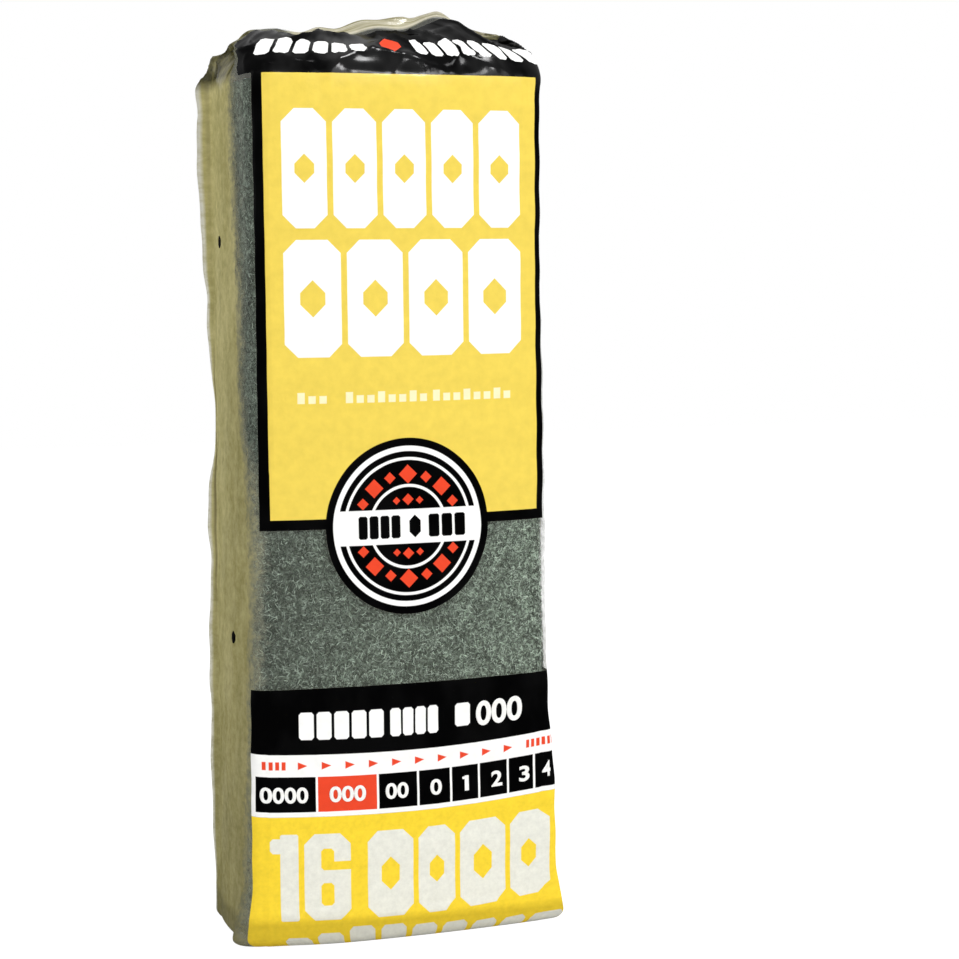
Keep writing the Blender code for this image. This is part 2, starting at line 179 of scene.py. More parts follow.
# %% Make the list of rows
Row = namedtuple("Row", "v z width depth corner shift swell tuck")
BASE_SEAM_WIDTH = 0.0040
BASE_SEAM_DEPTH = 0.0006
BASE_LIFT = 0.0010
BASE_LIFT_FROM = -0.0200
GABLE_RISE = 0.0176
GABLE_REACH = 0.0360
RIDGE_WIDTH = 0.0990
RIDGE_DEPTH = 0.0030
RIDGE_SETBACK = 0.0030
TUCK_DEPTH = 0.0110
HUMPS = (
    (-0.0530, -0.0070, 0.0060), (-0.0430, 0.0017, 0.0120), (0.0030, 0.0036, 0.0090),
    (0.0262, 0.0084, 0.0122), (0.0530, 0.0030, 0.0070),
)
FIN_HEIGHT = 0.0076
FIN_THICKNESS = 0.0012
FIN_LEAN_DEG = 42.0
FIN_RISE = (
    (-0.034, 0.20), (-0.026, 0.35), (-0.018, 0.55), (-0.0075, 0.74), (0.003, 0.60), (0.0135, 0.76),
    (0.0182, 0.50), (0.0237, 0.24), (0.031, 0.20), (0.036, 0.08),
)
BASE_ROWS = 7
EDGE_ROWS = 8
BODY_STEP = 0.0022
GABLE_ROWS = 30
FIN_ROWS = 4


def base_rows():
    width = width_at(0) - 2 * BASE_EDGE_RUN
    depth = depth_at(0) - 2 * BASE_EDGE_RUN
    hip = 1 - depth / width
    corner = FRONT_CORNER - BASE_EDGE_RUN / 2
    rows = []
    for i in range(BASE_ROWS):
        b = 1 - i / BASE_ROWS
        sunk = BASE_SEAM_DEPTH if i == 0 else 0.0
        inner = depth * (1 - b) + BASE_SEAM_WIDTH * b
        rows.append(Row(-b * depth / 2, sunk, width * (1 - b + b * hip), inner, corner, 0.0, 1 - b, 0.0))
    for i in range(EDGE_ROWS):
        a = math.radians(90 * (1 - i / EDGE_ROWS))
        inset = BASE_EDGE_RUN * (1 - math.cos(a))
        z = BASE_EDGE_RISE * (1 - math.sin(a))
        corner = FRONT_CORNER - inset / 2
        rows.append(Row(z, z, width_at(z) - 2 * inset, depth_at(z) - 2 * inset, corner, 0.0, 1.0, 0.0))
    return rows


def body_rows():
    count = round((SHOULDER - BASE_EDGE_RISE) / BODY_STEP)
    rows = []
    for i in range(count):
        z = BASE_EDGE_RISE + (SHOULDER - BASE_EDGE_RISE) * i / count
        rows.append(Row(z, z, width_at(z), depth_at(z), FRONT_CORNER, 0.0, 1.0, 0.0))
    return rows


def gable_rows():
    rows = []
    for i in range(GABLE_ROWS + 1):
        share = i / GABLE_ROWS
        a = math.radians(90 * share)
        width = RIDGE_WIDTH + (width_at(SHOULDER) - RIDGE_WIDTH) * math.cos(a)
        depth = RIDGE_DEPTH + (depth_at(SHOULDER) - RIDGE_DEPTH) * math.cos(a)
        z = SHOULDER + GABLE_RISE * math.sin(a)
        v = SHOULDER + GABLE_REACH * share
        setback, tuck = RIDGE_SETBACK * share, TUCK_DEPTH * share
        rows.append(Row(v, z, width, depth, FRONT_CORNER, setback, math.cos(a), tuck))
    return rows


ROWS = base_rows() + body_rows() + gable_rows()
RIDGE_V = ROWS[-1].v
FILM_BOTTOM_V = ROWS[0].v
print("film rows:", len(ROWS), "from v", round(FILM_BOTTOM_V, 4), "to", round(RIDGE_V + FIN_HEIGHT, 4))

# %% [markdown]
# ## Folds and wrinkles
# Thin film over soft wool is never flat. It swells gently over the wool, carries long soft creases where
# it hangs slack at the sides, and crumples where it is gathered on top. Each of these is a small height
# along the film's normal, worked out from u and v with smooth noise, so the same film comes out each time.
# Some edges stand off the wool by more: a pleat at the left back, slack film at the right front that ends
# in an ear at the base, and a smaller ear at the left front. Their reach is a profile of (height, reach).

# %% Heights of the folds
LEFT_PLEAT = (
    (0.000, 0.0016), (0.045, 0.0032), (0.098, 0.0046), (0.128, 0.0030), (0.155, 0.0040),
    (0.187, 0.0004), (0.225, 0.0036), (0.262, 0.0052), (0.290, 0.0058), (0.300, 0.0056),
    (0.309, 0.0070), (0.3185, 0.0026),
)
RIGHT_SLACK = (
    (0.000, 0.0052), (0.022, 0.0024), (0.052, 0.0024), (0.082, 0.0006), (0.302, 0.0014),
    (0.312, 0.0026), (0.3266, 0.0050),
)
LEFT_EAR = ((0.000, 0.0046), (0.024, 0.0))
EAR_BEHIND = 0.0050
PLEAT_WIDTH = 0.0019
SLACK_WIDTH = 0.0036
EAR_WIDTH = 0.0060
LAP_HALF_WIDTH = 0.0050
LAP_STEP = 0.0004
DEEPEST_DENT = 0.00025
FOLD_HEIGHT, FOLD_SLOPE, FOLD_FROM = 0.0116, 0.030, -0.056
PAD_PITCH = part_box(PAD_NODES[1])[0].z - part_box(PAD_NODES[0])[0].z
FIRST_MIDDLE = (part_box(PAD_NODES[0])[0].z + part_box(PAD_NODES[0])[1].z) / 2


def smooth(value, low, high):
    t = min(max((value - low) / (high - low), 0.0), 1.0)
    return t * t * (3 - 2 * t)


def bump(value, at, width):
    return math.exp(-(((value - at) / width) ** 2))


def fold_lines(x, y, seed, sharp):
    """Narrow ridges along the zero lines of a smooth noise, from 0 to 1."""
    return max(0.0, 1 - abs(noise.noise(Vector((x, y, seed)))) * 2.4) ** sharp


def side_share(u):
    """1 on the two sides of the pack, 0 on its front and back."""
    edge = width_at(SHOULDER / 2) / 2
    return smooth(abs(u), edge - 0.004, edge + 0.006) * (1 - smooth(abs(u), edge + 0.052, edge + 0.060))


def at_height(profile, z):
    """The value at this height of a profile of (height, value) pairs, eased from each to the next."""
    for (low, start), (high, end) in zip(profile, profile[1:]):
        if z <= high:
            return start + (end - start) * smooth(z, low, high)
    return profile[-1][1]


def corner_slack(turn, row):
    """How far the film stands off sideways at its two loose corners."""
    front_turn, back_turn = corner_turns(row.width, row.depth)
    loose = row.swell if row.v > SHOULDER else smooth(row.v, -0.010, 0.003)
    wave = 1 + 0.25 * noise.noise(Vector((row.z * 70, turn, 5.5)))
    pleat = at_height(LEFT_PLEAT, row.z) * bump((turn + back_turn) * HALF_TURN, 0, PLEAT_WIDTH)
    slack = at_height(RIGHT_SLACK, row.z) * bump((turn - front_turn) * HALF_TURN, 0, SLACK_WIDTH)
    ear = at_height(LEFT_EAR, row.z) * bump((turn + front_turn) * HALF_TURN, -EAR_BEHIND, EAR_WIDTH)
    return loose * (slack - wave * pleat - ear)


def base_fold_line(u):
    """The height of the fold that runs along the front just over the base, lower to the right."""
    return FOLD_HEIGHT - FOLD_SLOPE * (u - FOLD_FROM) + 0.0006 * noise.noise(Vector((u * 60, 0.4, 0.9)))


def base_fold(u, v):
    front = 1 - smooth(abs(u), 0.052, 0.060)
    over = v - base_fold_line(u)
    return front * (0.0012 * bump(over, 0, 0.0009) - 0.0005 * bump(over, -0.0026, 0.0016))


def film_height(u, v):
    on_body = smooth(v, 0.0, 0.012) * (1 - smooth(v, SHOULDER - 0.004, SHOULDER + 0.012))
    on_top = smooth(v, SHOULDER - 0.002, SHOULDER + 0.016)
    side = side_share(u)
    height = on_body * 0.00016 * math.cos(2 * math.pi * (v - FIRST_MIDDLE) / PAD_PITCH)
    height += on_body * 0.0007 * noise.noise(Vector((u * 22, v * 15, 3.1)))
    slack = 0.00022 + 0.00020 * side
    wander = 0.006 * noise.noise(Vector((u * 30, v * 20, 7.7)))
    height += on_body * slack * fold_lines((u + wander) * 45, v * 9, 11.3, 5)
    height -= on_body * 0.5 * slack * fold_lines((u - wander) * 60, v * 14 + u * 20, 23.9, 6)
    height = max(height, -DEEPEST_DENT)
    height += on_top * top_folds(u, v)
    height += base_fold(u, v)
    height *= smooth(HALF_TURN - abs(u), 0.0, 0.012)
    height += on_body * LAP_STEP * (1 - smooth(HALF_TURN - abs(u), LAP_HALF_WIDTH - 0.0006, LAP_HALF_WIDTH))
    return height


def top_folds(u, v):
    """The gathers over the stack: broad lumps, and creases that run up to the fin."""
    rise = (v - SHOULDER) / GABLE_REACH
    calm = 1 - 0.75 * smooth(rise, 0.8, 1.0)
    wander = 0.010 * noise.noise(Vector((u * 35, v * 35, 1.3)))
    lumps = 0.0022 * noise.noise(Vector((u * 38, v * 45, 9.2)))
    creases = 0.0016 * fold_lines((u + wander) * 38, v * 24, 31.7, 4)
    creases += 0.0009 * fold_lines((u - wander) * 70, v * 60 + u * 30, 41.1, 5)
    return calm * (lumps + creases - 0.0006)


print("folds: pad pitch", round(PAD_PITCH, 5))

# %% [markdown]
# ## The film
# The film starts as one flat grid, like the web that comes off a roll. Its flat coordinates are stored as
# a UV map before the grid is wrapped, so the print can be drawn in real distances on the flat film. Then
# every point of the grid is moved to its place round the pack, the two long edges are merged down the
# back, and the open ends are filled.

# %% Wrap the film
COLUMNS = 336
WEB_MAP = "web"
BAKE_MAP = "OFBake"


def hump(x, share):
    return sum(share**2 * rise * math.exp(-(((x - at) / spread) ** 2)) for at, rise, spread in HUMPS)


def row_point(turn, row):
    x, y = around(turn, row.width, row.depth, row.corner, BACK_CORNER, row.swell, row.tuck)
    share = max(0.0, (row.v - SHOULDER) / GABLE_REACH)
    base = 1 - smooth(row.z, 0.0, BASE_EDGE_RISE)
    lift = BASE_LIFT * base * smooth(-x, -BASE_LIFT_FROM, WIDTH_AT_BASE / 2)
    return Vector((x + corner_slack(turn, row), y + row.shift, row.z + hump(x, share) + lift))


def fin_point(turn, share):
    """A point on the crimped fin, which leans back from the ridge."""
    foot = row_point(turn, ROWS[-1])
    lean = math.radians(FIN_LEAN_DEG)
    along = Vector((0, math.sin(lean), math.cos(lean)))
    across = Vector((0, math.cos(lean), -math.sin(lean)))
    side = (foot.y - RIDGE_SETBACK) / RIDGE_DEPTH
    ripple = 0.0007 * math.sin(foot.x * 420) + 0.0012 * noise.noise(Vector((foot.x * 60, 0.0, 2.0)))
    foot.y = RIDGE_SETBACK
    reach = FIN_HEIGHT * (0.12 + 0.88 * share) * at_height(FIN_RISE, foot.x)
    return foot + along * reach + across * (side * FIN_THICKNESS + share * ripple)


def make_web(rows, columns, points, flat):
    """Wraps a flat grid: points gives each place from (column share, row), flat its (u, v)."""
    bm = bmesh.new()
    bmesh.ops.create_grid(bm, x_segments=columns, y_segments=rows, size=0.5)
    web = bm.loops.layers.uv.new(WEB_MAP)
    places = {}
    for vert in bm.verts:
        places[vert] = (round((vert.co.x + 0.5) * columns), round((vert.co.y + 0.5) * rows))
    for face in bm.faces:
        for loop in face.loops:
            loop[web].uv = flat(*places[loop.vert])
    for vert, place in places.items():
        vert.co = points(*place)
    bmesh.ops.remove_doubles(bm, verts=bm.verts, dist=1e-6)
    for edges in open_ends(bm):
        bmesh.ops.contextual_create(bm, geom=edges)
    bmesh.ops.recalc_face_normals(bm, faces=bm.faces)
    return bm


def open_ends(bm):
    """The loops of open edges, as one list of edges each."""
    left = {edge for edge in bm.edges if edge.is_boundary}
    loops = []
    while left:
        group = [left.pop()]
        for edge in group:
            for vert in edge.verts:
                more = [e for e in vert.link_edges if e in left]
                left.difference_update(more)
                group.extend(more)
        loops.append(group)
    return loops


def finish_mesh(name, bm, material):
    mesh = bpy.data.meshes.new(name)
    bm.to_mesh(mesh)
    bm.free()
    mesh.shade_smooth()
    piece = bpy.data.objects.new(name, mesh)
    bpy.context.scene.collection.objects.link(piece)
    mesh.materials.append(material)
    return piece


def make_film(material):
    last = len(ROWS) - 1

    def flat(i, j):
        v = ROWS[j].v if j <= last else RIDGE_V + FIN_HEIGHT * (j - last) / FIN_ROWS
        return (2 * i / COLUMNS - 1) * HALF_TURN, v

    def point(i, j):
        turn = 2 * i / COLUMNS - 1
        if abs(turn) == 1:
            turn = 1.0
        return row_point(turn, ROWS[j]) if j <= last else fin_point(turn, (j - last) / FIN_ROWS)

    bm = make_web(last + FIN_ROWS, COLUMNS, point, flat)
    web = bm.loops.layers.uv[WEB_MAP]
    bake = bm.loops.layers.uv.new(BAKE_MAP)
    top = RIDGE_V + FIN_HEIGHT
    heights = {}
    bm.normal_update()
    for face in bm.faces:
        if len(face.verts) > 4:
            continue
        for loop in face.loops:
            u, v = loop[web].uv
            heights[loop.vert] = film_height(u, v) if v <= RIDGE_V else 0.0
            loop[bake].uv = ((u / HALF_TURN + 1) / 2, (v - FILM_BOTTOM_V) / (top - FILM_BOTTOM_V))
    moves = {vert: vert.normal * height for vert, height in heights.items()}
    for vert, move in moves.items():
        vert.co += move
    film = finish_mesh("printed_film", bm, material)
    print("film:", len(film.data.polygons), "faces")
    return film

# %% [markdown]
# ## Small helpers for shader nodes
# A procedural material is a tree of small steps. Short helpers keep the trees readable: each adds a node,
# feeds its sockets with links or plain values, and gives back what comes out. Shapes of the print are
# three node groups that turn a flat place on the film into a mask: an octagon, a ring and a wedge.

# %% Node helpers and the three print shapes
EDGE_SOFTNESS = 0.00008
RING_NARROW, RING_TALL = 1.022, 0.979  # the rings come out a little taller than wide


def feed(tree, socket, value):
    if isinstance(value, bpy.types.NodeSocket):
        tree.links.new(value, socket)
    elif value is not None:
        socket.default_value = value


def add_node(tree, kind, values=(), **settings):
    made = tree.nodes.new(kind)
    for key, value in settings.items():
        setattr(made, key, value)
    for socket, value in zip(made.inputs, values):
        feed(tree, socket, value)
    return made


def fill(tree, node, values):
    """Feeds a node's sockets by name."""
    for name, value in values.items():
        feed(tree, node.inputs[name], value)


def new_material(name):
    made = bpy.data.materials.new(name)
    made.use_nodes = True
    return made, made.node_tree, made.node_tree.nodes["Principled BSDF"]


def maths(operation, tree, *values):
    return add_node(tree, "ShaderNodeMath", values, operation=operation).outputs[0]


times, plus, minus = partial(maths, "MULTIPLY"), partial(maths, "ADD"), partial(maths, "SUBTRACT")
over, larger, unsigned = partial(maths, "DIVIDE"), partial(maths, "MAXIMUM"), partial(maths, "ABSOLUTE")


def ramp(tree, value, low, high, to_low=0.0, to_high=1.0):
    return add_node(tree, "ShaderNodeMapRange", (value, low, high, to_low, to_high)).outputs[0]


def blend_colour(tree, mask, first, second):
    mixed = add_node(tree, "ShaderNodeMix", data_type="RGBA")
    feed(tree, mixed.inputs["Factor"], mask)
    feed(tree, mixed.inputs[6], first)
    feed(tree, mixed.inputs[7], second)
    return mixed.outputs[2]


def scaled(tree, colour, amount):
    made = add_node(tree, "ShaderNodeVectorMath", (colour,), operation="SCALE")
    feed(tree, made.inputs["Scale"], amount)
    return made.outputs[0]


def noise_at(tree, place, scale, detail=2.0, roughness=0.5, seed=0.0):
    moved = add_node(tree, "ShaderNodeVectorMath", (place, (seed, seed * 0.7, seed * 1.3)), operation="ADD")
    made = add_node(tree, "ShaderNodeTexNoise")
    fill(tree, made, {"Vector": moved.outputs[0], "Scale": scale, "Detail": detail, "Roughness": roughness})
    return made.outputs["Fac"]


def stretched(tree, place, across, along, turn=0.0):
    """The flat place turned, then stretched, so that a noise read there makes strokes."""
    mapping = add_node(tree, "ShaderNodeMapping")
    fill(tree, mapping, {"Vector": place, "Rotation": (0, 0, turn), "Scale": (across, along, 1)})
    return mapping.outputs[0]


def bumped(tree, height, strength, distance):
    """A normal that rises and falls with the height."""
    made = add_node(tree, "ShaderNodeBump")
    fill(tree, made, {"Strength": strength, "Distance": distance, "Height": height})
    return made.outputs[0]


def new_group(name, numbers):
    """A node group that takes a Place and these numbers and puts out a Mask."""
    group = bpy.data.node_groups.new(name, "ShaderNodeTree")
    group.interface.new_socket("Place", in_out="INPUT", socket_type="NodeSocketVector")
    for number in numbers:
        group.interface.new_socket(number, in_out="INPUT", socket_type="NodeSocketFloat")
    group.interface.new_socket("Mask", in_out="OUTPUT", socket_type="NodeSocketFloat")
    given = group.nodes.new("NodeGroupInput")
    place = add_node(group, "ShaderNodeSeparateXYZ", (given.outputs["Place"],))
    return group, [given.outputs[number] for number in numbers], place.outputs[0], place.outputs[1]


def close_group(group, distance):
    """Inside where the signed distance is negative, with a soft edge."""
    mask = ramp(group, distance, EDGE_SOFTNESS, -EDGE_SOFTNESS)
    add_node(group, "NodeGroupOutput", (mask,))
    return group


def octagon_group():
    group, (at_u, at_v, half_u, half_v, chamfer), u, v = new_group(
        "octagon", ("Middle U", "Middle V", "Half width", "Half height", "Chamfer")
    )
    du = unsigned(group, minus(group, u, at_u))
    dv = unsigned(group, minus(group, v, at_v))
    past_u = minus(group, du, half_u)
    past_v = minus(group, dv, half_v)
    past_corner = plus(group, plus(group, past_u, past_v), chamfer)
    return close_group(group, larger(group, larger(group, past_u, past_v), past_corner))


def ring_group():
    group, (at_u, at_v, inner, outer), u, v = new_group("ring", ("Middle U", "Middle V", "Inner", "Outer"))
    du = times(group, minus(group, u, at_u), RING_NARROW)
    dv = times(group, minus(group, v, at_v), RING_TALL)
    squares = plus(group, times(group, du, du), times(group, dv, dv))
    radius = maths("SQRT", group, squares)
    past_inner, past_outer = minus(group, inner, radius), minus(group, radius, outer)
    return close_group(group, larger(group, past_inner, past_outer))


def wedge_group():
    numbers = ("Left", "Middle V", "Length", "Half height")
    group, (left, at_v, length, half), u, v = new_group("wedge", numbers)
    along = minus(group, u, left)
    dv = unsigned(group, minus(group, v, at_v))
    room = times(group, half, minus(group, 1.0, over(group, along, length)))
    return close_group(group, larger(group, times(group, along, -1.0), minus(group, dv, room)))


SHAPES = {"octagon": octagon_group(), "ring": ring_group(), "wedge": wedge_group()}
print("print shapes:", sorted(SHAPES))

# %% [markdown]
# ## The layout of the print
# The print is opaque ink on the film: black over the top, a yellow panel in a thin black border, a round
# badge, and lower down a black band, a white scale of grades and a second yellow field. Where a real pack
# has words, this one has plain bars and an ornament of octagons. Each shape is a name and its numbers, and
# the layers are listed in the order in which they are printed, so a later layer covers an earlier one.

# %% List the printed shapes
LABEL_LEFT, LABEL_RIGHT, LABEL_BOTTOM = -0.0527, 0.0533, 0.1512
LABEL_BORDER = 0.0037
TOP_LEFT, TOP_RIGHT = -0.0680, 0.0760
TITLE_LEFT, TITLE_RIGHT = -0.0428, 0.0452
TITLE_ROWS = ((0.2569, 0.2984, 5), (0.2119, 0.2529, 4))
TITLE_GAP = 0.0022
TITLE_CHAMFER = 0.0046
BADGE_U, BADGE_V, BADGE_RADIUS = 0.0009, 0.1512, 0.0310
BAND_LEFT, BAND_RIGHT = -0.0575, 0.0780
BAND_TOP, BAND_BOTTOM = 0.0945, 0.0723
SCALE_BOTTOM = 0.0496
CELL_TOP, CELL_BOTTOM, CELL_GAP = 0.0642, 0.0514, 0.0008
CELL_LEFT, CELL_RIGHT = -0.0557, 0.0590
CELL_SHARES = (21.6, 21.7, 14.6, 12.2, 10.6, 11.2, 10.2, 9.9)
MARKED_CELL = 1
VENTS = ((0.0120, 0.2534), (-0.0070, 0.1111))
UNDER_FOLD_TOPS = (0.0055, 0.0070, 0.0088, 0.0085, 0.0075, 0.0068, 0.0056, 0.0046, 0.0037)
COUNT_BLOCKS = ((-0.0155, 0.0015), (0.0035, 0.0175), (0.0195, 0.0375), (0.0395, 0.0545))
COUNT_BOTTOM, COUNT_TOP = 0.0118, 0.0433


def box_shape(left, right, bottom, top, chamfer=0.0):
    middle = (left + right) / 2, (bottom + top) / 2
    return "octagon", *middle, (right - left) / 2, (top - bottom) / 2, chamfer


def hole_shape(left, right, bottom, top, share, tall, chamfer):
    """The pointed hole in the middle of a block, given as shares of the block's width."""
    half = (right - left) * share
    return "octagon", (left + right) / 2, (bottom + top) / 2, half, tall * half, chamfer * half


def bar_row(start, step, count, share, bottom, top, chamfer=0.0, fall=0.0):
    """A row of bars, each a share of its step wide and lower than the last by fall."""
    bars = []
    for i in range(count):
        left = start + i * step
        bars.append(box_shape(left, left + share * step, bottom - fall * i, top - fall * i, chamfer))
    return bars


def title_shapes():
    blocks, holes = [], []
    for bottom, top, count in TITLE_ROWS:
        step = (TITLE_RIGHT - TITLE_LEFT + TITLE_GAP) / count
        for i in range(count):
            edges = TITLE_LEFT + i * step, TITLE_LEFT + (i + 1) * step - TITLE_GAP, bottom, top
            blocks.append(box_shape(*edges, TITLE_CHAMFER))
            holes.append(hole_shape(*edges, 0.22, 1.9, 1.45))
    return blocks, holes


def cell_shapes():
    room = CELL_RIGHT - CELL_LEFT + CELL_GAP
    left = CELL_LEFT
    cells = []
    for share in CELL_SHARES:
        right = left + room * share / sum(CELL_SHARES) - CELL_GAP
        cells.append(box_shape(left, right, CELL_BOTTOM, CELL_TOP))
        left = right + CELL_GAP
    return cells


def badge_ring(inner, outer):
    return "ring", BADGE_U, BADGE_V, inner * BADGE_RADIUS, outer * BADGE_RADIUS


def badge_diamond(u, v, size):
    return "octagon", BADGE_U + u, BADGE_V + v, size, size, size


def badge_marks():
    """Red diamonds above and below the badge's white band: an arc of seven, and three inside it."""
    marks = []
    arc = 0.605 * BADGE_RADIUS
    for sign in (1, -1):
        for k in range(-3, 4):
            a = math.radians(90 - 21 * k) * sign
            marks.append(badge_diamond(arc * math.cos(a), arc * math.sin(a), 0.0021 if k % 2 else 0.0034))
        for k in (-1, 0, 1):
            level = sign * (0.0097 - 0.0004 * abs(k))
            marks.append(badge_diamond(0.0043 * k, level, 0.0014 if k else 0.0021))
    return marks


def scale_marks():
    """The row of small wedges over the cells, with a row of strokes at each end."""
    level = (CELL_TOP + BAND_BOTTOM) / 2
    marks = [("wedge", -0.0406 + i * 0.00862, level, 0.0035, 0.0014) for i in range(10)]
    for start, step, count, middle in ((-0.0533, 0.0023, 4, level), (0.0460, 0.0020, 6, level + 0.0003)):
        marks += bar_row(start, step, count, 0.62, middle - 0.0015, middle + 0.0015)
    return marks


def one_shapes(left, right, bottom, top):
    """A block numeral 1: a stem with a flag."""
    wide, high = right - left, top - bottom
    stem = box_shape(left + 0.36 * wide, right, bottom, top, 0.05 * wide)
    return [stem, box_shape(left, right, top - 0.22 * high, top - 0.05 * high, 0.1 * wide)]


def six_holes(left, right, bottom, top):
    """What is cut out of a block to make a numeral 6: the bowl, and the gap over it."""
    wide, high = right - left, top - bottom
    inner_left, inner_right = left + 0.36 * wide, left + 0.64 * wide
    bowl = box_shape(inner_left, inner_right, bottom + 0.17 * high, bottom + 0.43 * high, 0.0010)
    gap = box_shape(inner_left, inner_right, bottom + 0.58 * high, bottom + 0.83 * high, 0.0010)
    mouth = box_shape(inner_right - 0.001, right + 0.001, bottom + 0.58 * high, bottom + 0.68 * high)
    return [bowl, gap, mouth]


def under_fold_shapes():
    """The next row of the print, which runs on under the fold."""
    left, step = -0.0460, 0.0118
    shapes = []
    for i, top in enumerate(UNDER_FOLD_TOPS):
        shapes += bar_row(left + i * step, step, 1, 0.8, -0.0120, top, 0.0014)
    return shapes


def top_shapes():
    """Plain bars over the gable, on each side of a diamond, lower towards the right end."""
    bottom, top = SHOULDER + 0.0124, SHOULDER + 0.0216
    left_bars = bar_row(-0.0542, 0.0075, 6, 0.8, bottom, top, 0.0012)
    return left_bars + bar_row(0.0092, 0.00605, 8, 0.8, bottom, top, 0.0012, 0.00054)


def tagline_shapes():
    """Small bars in three words, every third one taller."""
    step = 0.0039
    shapes = []
    for start, count in ((-0.0387, 3), (-0.0214, 8), (0.0108, 8)):
        for i in range(count):
            shapes += bar_row(start + i * step, step, 1, 2 / 3, 0.1957, 0.1984 if i % 3 else 0.1996)
    return shapes


def side_u(y, z):
    """The u, on the left side, of a place at y and z."""
    to_side = width_at(z) / 2 - FRONT_CORNER + FRONT_CORNER * math.pi / 2
    return -(to_side + y + depth_at(z) / 2 - FRONT_CORNER)


TITLE_BLOCKS, TITLE_HOLES = title_shapes()
CELLS = cell_shapes()
TOP_BAND = box_shape(TOP_LEFT, TOP_RIGHT, SHOULDER + 0.0016, RIDGE_V - 0.0030, 0.0050)
TOP_DIAMOND = ("octagon", -0.0003, SHOULDER + 0.0172, 0.0040, 0.0064, 0.0048)
TOP_FOOT = box_shape(LABEL_LEFT, TOP_RIGHT, SHOULDER - 0.0010, SHOULDER + 0.0100)
LABEL = box_shape(LABEL_LEFT, LABEL_RIGHT, LABEL_BOTTOM, SHOULDER)
PANEL_LEFT, PANEL_RIGHT = LABEL_LEFT + LABEL_BORDER, LABEL_RIGHT - 0.7 * LABEL_BORDER
PANEL = box_shape(PANEL_LEFT, PANEL_RIGHT, LABEL_BOTTOM + LABEL_BORDER, SHOULDER + 0.0018)
ONE = (-0.0510, -0.0408, COUNT_BOTTOM, COUNT_TOP)
SIX = (-0.0387, -0.0218, COUNT_BOTTOM, COUNT_TOP)
BADGE_BARS = [("octagon", BADGE_U + 0.0025, BADGE_V, 0.0021, 0.0041, 0.0021)]
for start, step, count in ((-0.0184, 0.00404, 4), (0.0076, 0.0049, 3)):
    BADGE_BARS += bar_row(BADGE_U + start, step, count, 0.82, BADGE_V - 0.0041, BADGE_V + 0.0041, 0.0006)
GRADE_BARS = []
for start, step, count in ((-0.0400, 0.0064, 5), (-0.0066, 0.0047, 4)):
    GRADE_BARS += bar_row(start, step, count, 0.84, 0.0774, 0.0866, 0.0008)
GRADE_BARS.append(box_shape(0.0180, 0.0238, 0.0786, 0.0864, 0.0008))
CELL_ONE = (0.0206, 0.0231, 0.0548, 0.0604)
VENT_MARKS = [("octagon", side_u(y, z), z, 0.0025, 0.0022, 0.0013) for y, z in VENTS]
PLAIN_CELLS = [cell for i, cell in enumerate(CELLS) if i != MARKED_CELL]
COUNT_FORMS = [box_shape(*ends, COUNT_BOTTOM, COUNT_TOP, 0.0038) for ends in COUNT_BLOCKS]
COUNT_HOLES = [hole_shape(*ends, COUNT_BOTTOM, COUNT_TOP, 0.2, 2.2, 1.4) for ends in COUNT_BLOCKS]
LAYERS = (
    ("black", [TOP_BAND, TOP_FOOT, LABEL]),
    ("yellow", [PANEL]),
    ("white", TITLE_BLOCKS),
    ("cream", tagline_shapes()),
    ("yellow", TITLE_HOLES),
    ("black", [badge_ring(-1.0, 1.0)]),
    ("white", [badge_ring(0.850, 0.911), badge_ring(0.750, 0.783), badge_ring(0.447, 0.480)]),
    ("red", badge_marks()),
    ("white", [("octagon", BADGE_U, BADGE_V, 0.0268, 0.0062, 0.0008)]),
    ("black", BADGE_BARS),
    ("low yellow", [box_shape(BAND_LEFT, BAND_RIGHT, -0.0300, SCALE_BOTTOM)]),
    ("white", [box_shape(BAND_LEFT, BAND_RIGHT, SCALE_BOTTOM, BAND_BOTTOM)]),
    ("black", [box_shape(BAND_LEFT, BAND_RIGHT, BAND_BOTTOM, BAND_TOP)] + PLAIN_CELLS + VENT_MARKS),
    ("red", [CELLS[MARKED_CELL], TOP_DIAMOND] + scale_marks()),
    ("white", GRADE_BARS + one_shapes(*CELL_ONE) + top_shapes()),
    ("low white", COUNT_FORMS + [box_shape(*SIX, 0.0038)] + one_shapes(*ONE) + under_fold_shapes()),
    ("low yellow", COUNT_HOLES + six_holes(*SIX)),
)
print("print:", sum(len(shapes) for ink, shapes in LAYERS), "shapes in", len(LAYERS), "layers")
